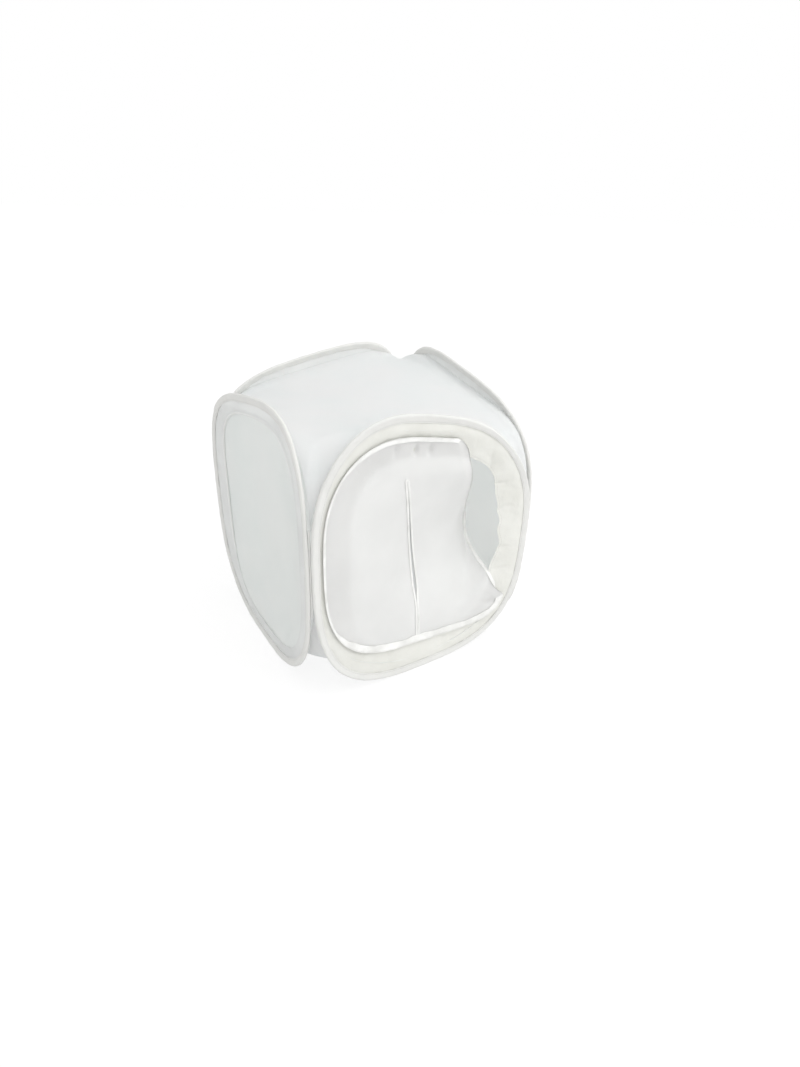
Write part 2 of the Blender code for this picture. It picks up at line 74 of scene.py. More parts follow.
class Side(Enum):
    """The four walls of the tent, each with its right-hand and its outward direction."""

    FRONT = ("front", (1.0, 0.0), (0.0, -1.0))
    RIGHT = ("right", (0.0, 1.0), (1.0, 0.0))
    BACK = ("back", (-1.0, 0.0), (0.0, 1.0))
    LEFT = ("left", (0.0, -1.0), (-1.0, 0.0))

    @property
    def label(self) -> str:
        """Return the wall's name as the frame's nodes spell it."""
        return self.value[0]

    @property
    def body(self) -> str:
        """Return the moving body that carries this wall."""
        return "front_frame" if self is Side.FRONT else self.label + "_wall"

    @property
    def rearwards(self) -> float:
        """Return the sign of the direction across a side wall that leads to the rear, or nought."""
        return self.value[2][0]


def fade(value: Array) -> Array:
    """Return a smooth step from nought to one."""
    share = np.clip(value, 0.0, 1.0)
    return share * share * (3.0 - 2.0 * share)


def hump(value: Array, middle: float, reach: float) -> Array:
    """Return a soft bump of height one round a middle value."""
    return np.exp(-(((value - middle) / reach) ** 2))


@dataclass(frozen=True)
class Step:
    """A smooth step: nought at its start, one after its span, which is negative where the step falls."""

    start: float
    span: float

    def at(self, value: Array) -> Array:
        """Return the step's height at each value."""
        return fade((value - self.start) / self.span)


def run_lengths(line: Array) -> Array:
    """Return how far along a line each of its places lies."""
    return np.concatenate([[0.0], np.cumsum(np.linalg.norm(np.diff(line, axis=0), axis=1))])


def even_places(line: Array, count: int) -> Array:
    """Return evenly spaced places on a line, its two ends included.

    Args:
        line: Places on the line.
        count: How many places to return.

    Returns:
        The places.
    """
    lengths = run_lengths(line)
    stops = np.linspace(0.0, lengths[-1], count)
    return np.stack([np.interp(stops, lengths, line[:, axis]) for axis in (0, 1)], -1)


def drawn_curve(share: Array, *pulls: Place) -> Array:
    """Return places on the smooth curve that starts at the first pull point and ends at the last.

    Args:
        share: How far along the curve each place lies, from nought to one.
        pulls: The curve's two ends, with the points that draw it aside between them.

    Returns:
        The places.
    """
    order = len(pulls) - 1
    places = np.zeros((len(share), 2))
    for step, pull in enumerate(pulls):
        weight = math.comb(order, step) * share**step * (1.0 - share) ** (order - step)
        places += weight[:, None] * np.array(pull)
    return places


def linear_colour(code: str) -> tuple[float, float, float, float]:
    """Turn an sRGB hex code into linear colour.

    Args:
        code: Six hex digits.

    Returns:
        Red, green, blue and alpha.
    """
    parts = [int(code[start : start + 2], 16) / 255.0 for start in (0, 2, 4)]
    red, green, blue = (
        part / 12.92 if part <= 0.04045 else ((part + 0.055) / 1.055) ** 2.4 for part in parts
    )
    return (red, green, blue, 1.0)


class CreaseField:
    """Soft seeded noise in three dimensions, for dents and creases in cloth."""

    def __init__(self, seed: int, cells: int = 24) -> None:
        """Fill the lattice, which has so many cells along each side, from a seed."""
        self.cells = cells
        self.values = np.random.default_rng(seed).uniform(-1.0, 1.0, (cells, cells, cells))

    def at(self, places: Array, size: Dent) -> Array:
        """Return the noise at places.

        Args:
            places: An array whose last axis holds two or three lengths in metres.
            size: The size of one dent along each of those lengths.

        Returns:
            Values from about minus one to one.
        """
        cell = places / np.array(size)
        if cell.shape[-1] == 2:
            cell = np.concatenate([cell, np.zeros(cell.shape[:-1] + (1,))], axis=-1)
        base = np.floor(cell).astype(int)
        part = fade(cell - base)
        total = np.zeros(cell.shape[:-1])
        for corner in np.ndindex(2, 2, 2):
            index = (base + np.array(corner)) % self.cells
            weight = np.prod(np.where(np.array(corner) == 1, part, 1.0 - part), axis=-1)
            total += weight * self.values[index[..., 0], index[..., 1], index[..., 2]]
        return total

    def ridges(self, places: Array, size: Dent, sharpness: float) -> Array:
        """Return thin crease lines: one on a line, falling to nought beside it."""
        return np.clip(1.0 - np.abs(self.at(places, size)) * sharpness, 0.0, 1.0) ** 2


@dataclass(frozen=True)
class Pucker:
    """One place along an edge where the cloth is drawn in or out."""

    place: float
    reach: float
    spread: float


def drawn_in(values: Array, puckers: tuple[Pucker, ...]) -> Array:
    """Return how far a row of puckers draws the cloth at each value."""
    return sum(pucker.reach * hump(values, pucker.place, pucker.spread) for pucker in puckers)


def add_object(name: str, data: ID) -> Object:
    """Return a new object in the scene.

    Args:
        name: The object's name.
        data: Its mesh, lamp or camera.

    Returns:
        The object.
    """
    thing = bpy.data.objects.new(name, data)
    bpy.context.scene.collection.objects.link(thing)
    return thing


@dataclass
class ClothSheet:
    """One sheet of cloth as two layers of points, its outer and its inner face."""

    name: str
    outer: Array
    inner: Array
    metres: Array
    wrap: bool = False
    cut_column: int = -1
    cells: Array | None = None
    sharp_degrees: float = 50.0

    def build(self) -> Object:
        """Make the closed mesh of the sheet.

        Returns:
            The object, smooth, with its cloth lengths in metres as its UV map.
        """
        rows, columns = self.outer.shape[:2]
        layer = rows * columns
        kept = np.ones((rows - 1, columns if self.wrap else columns - 1), dtype=bool)
        if self.cells is not None:
            kept &= self.cells
        if self.cut_column >= 0:
            kept[:, self.cut_column] = False
        around = np.pad(kept, 1)
        if self.wrap:
            around[1:-1, 0] = kept[:, -1]
            around[1:-1, -1] = kept[:, 0]
        row, column = np.nonzero(kept)
        beside = (column + 1) % columns
        low, high = row * columns, (row + 1) * columns
        corners = np.stack([low + column, low + beside, high + beside, high + column], -1)
        faces = [corners, corners[:, [1, 0, 3, 2]] + layer]
        for down, side, start, end in ((-1, 0, 0, 1), (1, 0, 2, 3), (0, -1, 3, 0), (0, 1, 1, 2)):
            near, far = corners[:, start], corners[:, end]
            free = ~around[row + 1 + down, column + 1 + side] & ~self.is_sewn_shut(near, far, side)
            near, far = near[free], far[free]
            faces.append(np.stack([far, near, near + layer, far + layer], -1))
        used, order = np.unique(np.concatenate(faces), return_inverse=True)
        points = np.concatenate([self.outer.reshape(-1, 3), self.inner.reshape(-1, 3)])[used]
        lengths = np.concatenate([self.metres.reshape(-1, 2)] * 2)[used]
        return self.finish(points, lengths, order.reshape(-1, 4))

    def is_sewn_shut(self, near: Array, far: Array, side: int) -> Array:
        """Return whether each rim lies where the cut's two lips are sewn shut.

        Args:
            near: The index of each rim's first point.
            far: The index of each rim's last point.
            side: On which side of its cell the rim lies.

        Returns:
            One truth value for each rim.
        """
        if self.cut_column < 0 or side == 0:
            return np.zeros(len(near), dtype=bool)
        flat = self.outer.reshape(-1, 3)
        shut = near % self.outer.shape[1] == self.cut_column + (side < 0)
        for index in (near, far):
            other = np.clip(index + side, 0, len(flat) - 1)
            shut = shut & (np.linalg.norm(flat[index] - flat[other], axis=1) < WELD)
        return shut

    def finish(self, points: Array, lengths: Array, faces: Array) -> Object:
        """Turn points and faces into a smooth, welded object.

        Args:
            points: The mesh's points.
            lengths: Each point's cloth lengths in metres.
            faces: The four corners of each face.

        Returns:
            The object.
        """
        mesh = bpy.data.meshes.new(self.name)
        mesh.from_pydata(points.tolist(), [], faces.tolist())
        uv_map = mesh.uv_layers.new(name=CLOTH_METRES)
        corners = np.zeros(len(mesh.loops), dtype=np.int64)
        mesh.loops.foreach_get("vertex_index", corners)
        places = lengths[corners]
        if self.wrap:
            self.unroll(places)
        uv_map.data.foreach_set("uv", places.astype(np.float32).ravel())
        thing = add_object(self.name, mesh)
        if self.cut_column >= 0:
            self.weld(mesh)
        mesh.polygons.foreach_set("use_smooth", [True] * len(mesh.polygons))
        mesh.set_sharp_from_angle(angle=math.radians(self.sharp_degrees))
        mesh.update()
        return thing

    def unroll(self, places: Array) -> None:
        """Let the lengths run on across the closing faces of a band, instead of back to nought.

        Args:
            places: The lengths at each corner of each face, changed in place.
        """
        period = 2 * self.metres[0, -1, 0] - self.metres[0, -2, 0]
        run = places[:, 0].reshape(-1, 4)
        closing = np.ptp(run, axis=1) > period / 2
        run[closing[:, None] & (run < period / 2)] += period

    def weld(self, mesh: Mesh) -> None:
        """Join the points that share a place, where the cut is sewn shut.

        Args:
            mesh: The sheet's mesh.
        """
        work = bmesh.new()
        work.from_mesh(mesh)
        bmesh.ops.remove_doubles(work, verts=work.verts, dist=WELD)
        work.to_mesh(mesh)
        work.free()


@dataclass(frozen=True)
class TentShape:
    """The tent's sizes in metres and the shape that its sprung hoops hold."""

    pivot_distance: float
    height: float
    sleeve_diameter: float = 0.009
    pivot_clearance: float = 0.0002
    layer_gap: float = 0.0003
    cloth: float = 0.0008
    flange_width: float = 0.018
    border_width: float = 0.072
    side_border_width: float = 0.028
    side_border_extra: float = 0.050
    border_lap: float = 0.006
    panel_lap: float = 0.006
    corner_rise: float = 0.058
    right_lean: float = 0.012
    hoop_power: float = 3.0
    round_shares: tuple[float, ...] = (0.12, -0.01, -0.18, -0.10)
    taper_shares: tuple[float, ...] = (0.08, -0.08, 0.08, -0.08)
    wall_zone: Step = Step(0.82, 0.14)
    corner_zone: float = 0.10
    relief_depth: float = 0.011
    relief_zone: Step = Step(0.915, -0.235)
    outline_detail: int = 20

    @property
    def wall_distance(self) -> float:
        """Return how far each wall's middle plane stands from the tent's axis."""
        return self.pivot_distance + self.sleeve_diameter / 2 + self.pivot_clearance

    @property
    def half(self) -> Array:
        """Return half a hoop's outer width and half its outer height."""
        return np.array([self.pivot_distance - self.layer_gap, self.height / 2])

    @property
    def half_height(self) -> float:
        """Return half a hoop's outer height."""
        return self.height / 2

    @property
    def border_back(self) -> float:
        """Return the depth of the border's inner face."""
        return -self.cloth * 1.5 - self.layer_gap

    def rounded_square(self, waves: Array, reach: Array) -> Array:
        """Return places on a rounded square of a given reach, from pairs of sine and cosine."""
        return np.sign(waves) * np.abs(waves) ** (2.0 / self.hoop_power) * reach

    def outline(self, count: int) -> tuple[Array, Array, float]:
        """Return even stations on the hoop's outer outline.

        Args:
            count: The number of stations, the first at the top middle.

        Returns:
            Places, outward normals and the outline's length.
        """
        angles = np.linspace(0.0, 2 * math.pi, count * self.outline_detail + 1)
        line = self.rounded_square(np.stack([np.sin(angles), np.cos(angles)], -1), self.half)
        places = even_places(line, count + 1)[:-1]
        ahead = np.roll(places, -1, 0) - np.roll(places, 1, 0)
        normals = np.stack([-ahead[:, 1], ahead[:, 0]], 1)
        normals /= np.linalg.norm(normals, axis=1)[:, None]
        return places, normals, float(run_lengths(line)[-1])

    def side_reach(self, side: Side, across: Array) -> Array:
        """Return how far a side wall's border reaches in: it is wider along the wall's rear edge."""
        share = np.maximum(side.rearwards * across / self.half[0], 0.0)
        return self.flange_width + self.side_border_width + self.side_border_extra * share**2

    def ring_share(self, across: Array, up: Array) -> Array:
        """Return how far out a place lies: nought in the middle of a wall, one on its outline."""
        sizes = (np.abs(across / self.half[0]), np.abs(up / self.half[1]))
        return sum(size**self.hoop_power for size in sizes) ** (1.0 / self.hoop_power)

    def relief(self, across: Array, up: Array) -> Array:
        """Return how far the slack front cloth sinks inwards from the hoop towards the opening."""
        return self.relief_depth * self.relief_zone.at(self.ring_share(across, up))

    def wall_weight(self, outward: Array, aside: Array) -> Array:
        """Return how much a place belongs to one wall."""
        return self.wall_zone.at(outward) * fade((outward - aside) / self.corner_zone + 0.5)

    def settle(self, points: Array) -> Array:
        """Move points of the plain cube to where the sprung hoops hold them.

        Args:
            points: Points of the plain cube.

        Returns:
            The points on hoops that are rounder, tapered or leaning.
        """
        across, along = (points[..., axis] / self.wall_distance for axis in (0, 1))
        rise = points[..., 2] / self.half_height - 1.0
        bow = rise * np.abs(rise)
        wide, deep = np.abs(across), np.abs(along)
        walls = ((-along, wide), (-across, deep), (across, deep), (along, wide))
        weights = [self.wall_weight(outward, aside) for outward, aside in walls]
        squeeze, tapers = 0.0, []
        for weight, (_, aside), rounding, taper in zip(weights, walls, self.round_shares, self.taper_shares):
            squeeze = squeeze + weight * rounding * aside**3
            tapers.append(weight * taper * bow * (1.0 - aside**8))
        lean = weights[2] * self.right_lean * np.maximum(bow, 0.0) * (1.0 - along**8)
        level = self.half_height + (points[..., 2] - self.half_height) * (1.0 - squeeze)
        level = level * (1.0 + self.corner_rise * across * along / self.height)
        x_place = points[..., 0] * (1.0 - tapers[0] - tapers[3]) - lean
        y_place = points[..., 1] * (1.0 - tapers[1] - tapers[2])
        return np.stack([x_place, y_place, level], axis=-1)

    def on_wall(self, side: Side, across: Array, up: Array, outward: Array) -> Array:
        """Return settled points of one wall.

        Args:
            side: The wall.
            across: Places across the wall, from its middle.
            up: Places up the wall, from its middle.
            outward: Depths outside the wall's middle plane.

        Returns:
            Points in the tent's frame.
        """
        _, right, out = side.value
        reach = self.wall_distance + outward
        x_place = right[0] * across + out[0] * reach
        y_place = right[1] * across + out[1] * reach
        return self.settle(np.stack([x_place, y_place, up + self.half_height], axis=-1))

    def wall_sheet(
        self,
        name: str,
        side: Side,
        places: tuple[Array, Array],
        depth: Array,
        thickness: float,
        lengths: tuple[Array, Array] | None = None,
        **options: object,
    ) -> ClothSheet:
        """Return a sheet of cloth that lies along one wall.

        Args:
            name: The sheet's name.
            side: The wall.
            places: Where its points lie across and up.
            depth: How far its inner face lies outside the wall's middle plane.
            thickness: The cloth's thickness.
            lengths: The cloth's own lengths, where they aren't its places.
            options: Further fields of the sheet.

        Returns:
            The sheet.
        """
        outer, inner = (self.on_wall(side, *places, depth + offset) for offset in (thickness, 0.0))
        metres = np.stack(np.broadcast_arrays(*(lengths or places)), -1)
        return ClothSheet(name, outer, inner, metres, **options)


def read_shape() -> TentShape:
    """Work the tent's two driving sizes out of the frame's first fold axis."""
    fold = next(joint for joint in frame["joints"] if joint["name"] == "left_fold")
    return TentShape(pivot_distance=-fold["pos_m"][0], height=2.0 * fold["pos_m"][2])


def add_node(
    tree: NodeTree, kind: str, inputs: dict[int | str, object] | None = None, **settings: object
) -> Node:
    """Add a node with its settings and links.

    Args:
        tree: The node tree.
        kind: The node's type, without its usual prefix.
        inputs: By input name or number, a value, a socket that feeds it, or a node whose first output does.
        settings: The node's properties.

    Returns:
        The node.
    """
    node = tree.nodes.new("ShaderNode" + kind)
    for name, value in settings.items():
        setattr(node, name, value)
    for key, value in (inputs or {}).items():
        source = value.outputs[0] if isinstance(value, Node) else value
        if isinstance(source, NodeSocket):
            tree.links.new(source, node.inputs[key])
        else:
            node.inputs[key].default_value = source
    return node


@dataclass(frozen=True)
class Finish:
    """A finish of this object, which makes its own node material."""

    name: str
    tone: str

    def material(self) -> Material:
        """Return the finish as a material.

        Returns:
            The material.
        """
        material = bpy.data.materials.new(self.name)
        material.use_nodes = True
        material.node_tree.nodes.clear()
        add_node(material.node_tree, "OutputMaterial", {"Surface": self.surface(material.node_tree)})
        return material

    def surface(self, tree: NodeTree) -> Node:
        """Return the node whose first output is the surface."""
        raise NotImplementedError

    @staticmethod
    def shaded(ramp: Node, *stops: tuple[float, str]) -> Node:
        """Set a colour ramp's two stops and return the ramp.

        Args:
            ramp: The colour ramp.
            stops: A place and an sRGB hex code for each stop.

        Returns:
            The same ramp.
        """
        for element, (place, tone) in zip(ramp.color_ramp.elements, stops):
            element.position = place
            element.color = linear_colour(tone)
        return ramp


@dataclass(frozen=True)
class WovenCloth(Finish):
    """Woven synthetic cloth: a base tone, faint uneven shade, a weave and soft creases."""

    shade: str
    translucency: float
    crease_mm: float
    crease_depth: float
    thread_mm: float = 1.6
    weave_depth: float = 0.10
    cloud_share: float = 2.2
    roughness: float = 0.82
    sheen: float = 0.15
    stitch_rows_mm: tuple[float, ...] = ()
    stitch_mm: float = 6.0
    stitch_half_mm: float = 0.6
    stitch_dent: float = 0.20
    stitch_tone: str = "F1F1F0"
    # A painted highlight: a lighter band of this width along the cloth's inner edge, in this tone.
    highlight_rim_mm: float = 0.0
    rim_highlight_tone: str = "FCFCFB"

    def surface(self, tree: NodeTree) -> Node:
        """Return a plain surface that lets part of the light through.

        Args:
            tree: The node tree.

        Returns:
            The node whose first output is the surface.
        """
        place = add_node(tree, "TexCoord").outputs["Object"]
        lengths = add_node(tree, "UVMap", uv_map=CLOTH_METRES)
        parts = add_node(tree, "SeparateXYZ", {"Vector": lengths})
        scale = 1000.0 / (self.crease_mm * self.cloud_share)
        cloud = {"Vector": place, "Scale": scale, "Detail": 3.0, "Roughness": 0.55}
        tint = add_node(tree, "ValToRGB", {"Fac": add_node(tree, "TexNoise", cloud)})
        colour = self.shaded(tint, (0.30, self.shade), (0.62, self.tone)).outputs[0]
        height = self.surface_height(tree, place, lengths)
        # Painted highlight: the cloth turns to the lighter tone within so many millimetres of its inner
        # edge.
        if self.highlight_rim_mm > 0.0:
            ends = {"Value": parts.outputs["Y"], 1: self.highlight_rim_mm / 1000.0, 2: self.highlight_rim_mm / 2000.0}
            near = add_node(tree, "MapRange", ends, interpolation_type="SMOOTHSTEP")
            mixed = {0: near, 6: colour, 7: linear_colour(self.rim_highlight_tone)}
            colour = add_node(tree, "Mix", mixed, data_type="RGBA").outputs[2]
        if self.stitch_rows_mm:
            mask = self.stitch_mask(tree, parts)
            mixed = {0: mask, 6: colour, 7: linear_colour(self.stitch_tone)}
            colour = add_node(tree, "Mix", mixed, data_type="RGBA", blend_type="MULTIPLY").outputs[2]
            dent = {0: mask, 1: -self.stitch_dent, 2: height}
            height = add_node(tree, "Math", dent, operation="MULTIPLY_ADD")
        bump = add_node(tree, "Bump", {"Height": height, "Strength": 1.0, "Distance": 0.001})
        looks = {"Base Color": colour, "Normal": bump, "Roughness": self.roughness, "IOR": FIBRE_IOR}
        looks |= {"Sheen Weight": self.sheen, "Sheen Roughness": 0.45, "Specular IOR Level": 0.25}
        face = add_node(tree, "BsdfPrincipled", looks)
        through = add_node(tree, "BsdfTranslucent", {"Color": colour, "Normal": bump})
        return add_node(tree, "MixShader", {0: self.translucency, 1: face, 2: through})

    def surface_height(self, tree: NodeTree, place: NodeSocket, lengths: Node) -> Node:
        """Return the height of the weave and of the soft creases, in millimetres.

        Args:
            tree: The node tree.
            place: The place on the piece.
            lengths: The node that gives the cloth's lengths.

        Returns:
            The node whose first output is the height.
        """
        waves = {"Vector": lengths, "Scale": WAVE_PERIOD * 1000.0 / self.thread_mm}
        warp, weft = (add_node(tree, "TexWave", waves, bands_direction=axis).outputs["Fac"] for axis in "XY")
        weave = add_node(tree, "Math", {0: warp, 1: weft}, operation="MULTIPLY")
        fine = add_node(tree, "Math", {0: weave, 1: self.weave_depth}, operation="MULTIPLY")
        creases = {"Vector": place, "Scale": 1000.0 / self.crease_mm, "Detail": 4.0, "Roughness": 0.5}
        crease = add_node(tree, "TexNoise", creases | {"Distortion": 0.6})
        return add_node(tree, "Math", {0: crease, 1: self.crease_depth, 2: fine}, operation="MULTIPLY_ADD")

    def stitch_mask(self, tree: NodeTree, parts: Node) -> Node:
        """Return one on the thread of each stitch row and nought elsewhere.

        Args:
            tree: The node tree.
            parts: The node that gives the lengths along and across the cloth.

        Returns:
            The node whose first output is the mask.
        """
        along = {0: parts.outputs["X"], 1: self.stitch_mm / 2000.0}
        dash = add_node(tree, "Math", along, operation="PINGPONG")
        on_dash = add_node(tree, "Math", {0: dash, 1: self.stitch_mm / 8000.0}, operation="GREATER_THAN")
        total = None
        for row in self.stitch_rows_mm:
            band = {0: parts.outputs["Y"], 1: row / 1000.0, 2: self.stitch_half_mm / 1000.0}
            near = add_node(tree, "Math", band, operation="COMPARE")
            line = add_node(tree, "Math", {0: near, 1: on_dash}, operation="MULTIPLY")
            if total is None:
                total = line
            else:
                total = add_node(tree, "Math", {0: total, 1: line}, operation="MAXIMUM")
        return total


@dataclass(frozen=True)
class BristleTape(Finish):
    """Nylon hook or loop tape: short bristles on a woven band."""

    bristle_mm: float
    bristle_depth: float
    root_shade_tone: str = "C9C9C6"

    def surface(self, tree: NodeTree) -> Node:
        """Return a matt surface of short bristles.

        Args:
            tree: The node tree.

        Returns:
            The node whose first output is the surface.
        """
        lengths = add_node(tree, "UVMap", uv_map=CLOTH_METRES)
        bristle = add_node(tree, "TexVoronoi", {"Vector": lengths, "Scale": 1000.0 / self.bristle_mm})
        # Painted shade: the tone darkens from each bristle out to the gaps between bristles.
        tint = add_node(tree, "ValToRGB", {"Fac": bristle})
        self.shaded(tint, (0.0, self.tone), (0.9, self.root_shade_tone))
        relief = {"Height": bristle, "Strength": self.bristle_depth, "Distance": 0.0005}
        bump = add_node(tree, "Bump", relief, invert=True)
        looks = {"Base Color": tint, "Normal": bump, "Roughness": 0.7, "IOR": FIBRE_IOR}
        looks |= {"Sheen Weight": 0.3}
        return add_node(tree, "BsdfPrincipled", looks)


@dataclass(frozen=True)
class DrawnMetal(Finish):
    """Metal that was drawn through a die: fine lines along it and slightly uneven roughness."""

    roughness: float
    line_mm: float
    spread: float = 0.08

    def surface(self, tree: NodeTree) -> Node:
        """Return a metal surface with fine drawn lines.

        Args:
            tree: The node tree.

        Returns:
            The node whose first output is the surface.
        """
        place = add_node(tree, "TexCoord").outputs["Object"]
        lines = add_node(tree, "TexNoise", {"Vector": place, "Scale": 1000.0 / self.line_mm, "Detail": 2.0})
        low, high = self.roughness - self.spread, self.roughness + self.spread
        gloss = add_node(tree, "MapRange", {"Value": lines, "To Min": low, "To Max": high})
        bump = add_node(tree, "Bump", {"Height": lines, "Strength": 0.2, "Distance": 0.0001})
        looks = {"Base Color": linear_colour(self.tone), "Metallic": 1.0, "Roughness": gloss, "Normal": bump}
        return add_node(tree, "BsdfPrincipled", looks)


# Thin nylon taffeta, woven from 0.1 mm threads and heat set: it glows evenly. Its weave is drawn at 1.6 mm
# and every cloth's 3 mm stitches at 6 mm, so that they show.
WALL_NYLON = WovenCloth("wall_nylon_taffeta", "FAFBFA", "F7F9F8", 0.60, crease_mm=70.0, crease_depth=0.9)
TOP_NYLON = WovenCloth("top_nylon_taffeta", "FAFAFA", "F7F9F9", 0.60, crease_mm=80.0, crease_depth=1.0)
COVER_NYLON = WovenCloth("cover_nylon_taffeta", "F5F5F4", "F1F1F0", 0.40, crease_mm=60.0, crease_depth=1.0)
# Heavier polyester, woven from 0.3 mm yarn and drawn at 2.2 mm: warmer, and its creases are sharper.
BORDER_POLYESTER = WovenCloth(
    "border_polyester", "EFEFEA", "E9E9E3", 0.20, 34.0, 2.4, 2.2, 0.16, stitch_rows_mm=(6.0,)
)
# The side borders carry a painted highlight: a lighter band along the inner edge, over the raised piping.
SIDE_POLYESTER = WovenCloth(
    "side_border_polyester", "F3F4F3", "EDEEED", 0.34, 45.0, 1.4, 2.2, 0.16,
    stitch_rows_mm=(1.5,), highlight_rim_mm=7.0,
)
# The casing of the same polyester, folded over the wire: warm grey-white with two rows of lock stitches. Its
# tone, a little darker than the border's, is painted shade for the rounded casing.
SHADED_CASING_POLYESTER = WovenCloth(
    "shaded_casing_polyester", "E9E9E6", "E4E4E1", 0.12, 30.0, 1.8, 2.2, 0.18, stitch_rows_mm=(3.0, 38.0)
)
# Doubled nylon hem of the cover: two layers let less light through, so it is brighter in front light.
# The hem's blotches, from its darker second tone, are painted highlights and shade for its rumples.
HEM_NYLON = WovenCloth(
    "hem_doubled_nylon", "FBFBF9", "E9E9E6", 0.12, 20.0, 2.0, 1.8, 0.14, stitch_rows_mm=(2.0,)
)
# Woven nylon tape with soft loops or stiff cut hooks: matt, with a grain of about the real size.
LOOP_NYLON = BristleTape("loop_tape_nylon", "F0F0ED", bristle_mm=0.9, bristle_depth=0.5)
HOOK_NYLON = BristleTape("hook_tape_nylon", "E8E8E4", bristle_mm=1.3, bristle_depth=0.9)
# Spring steel wire, drawn and tempered: dark and half bright. Drawn aluminium tube, crimped on: paler.
SPRING_STEEL = DrawnMetal("spring_steel_wire", "8C8F94", roughness=0.34, line_mm=0.6)
CRIMPED_ALUMINIUM = DrawnMetal("crimped_aluminium", "C8CACC", roughness=0.36, line_mm=1.2)


def dress(thing: Object, material: Material, body: str, node: str) -> None:
    """Give a piece its material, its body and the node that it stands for.

    Args:
        thing: The piece.
        material: Its material.
        body: The moving body that it rides on.
        node: The CAD node that it replaces.
    """
    thing.data.materials.clear()
    thing.data.materials.append(material)
    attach(thing, body)
    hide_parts(node)
    log.info("%s rides on %s", thing.name, body)


# Where the front border's inner edge is drawn in or out, up its right side.
RING_PUCKERS = (
    Pucker(place=0.150, reach=0.003, spread=0.022),
    Pucker(place=0.050, reach=-0.008, spread=0.022),
    Pucker(place=-0.022, reach=-0.015, spread=0.036),
    Pucker(place=-0.110, reach=0.003, spread=0.030),
)


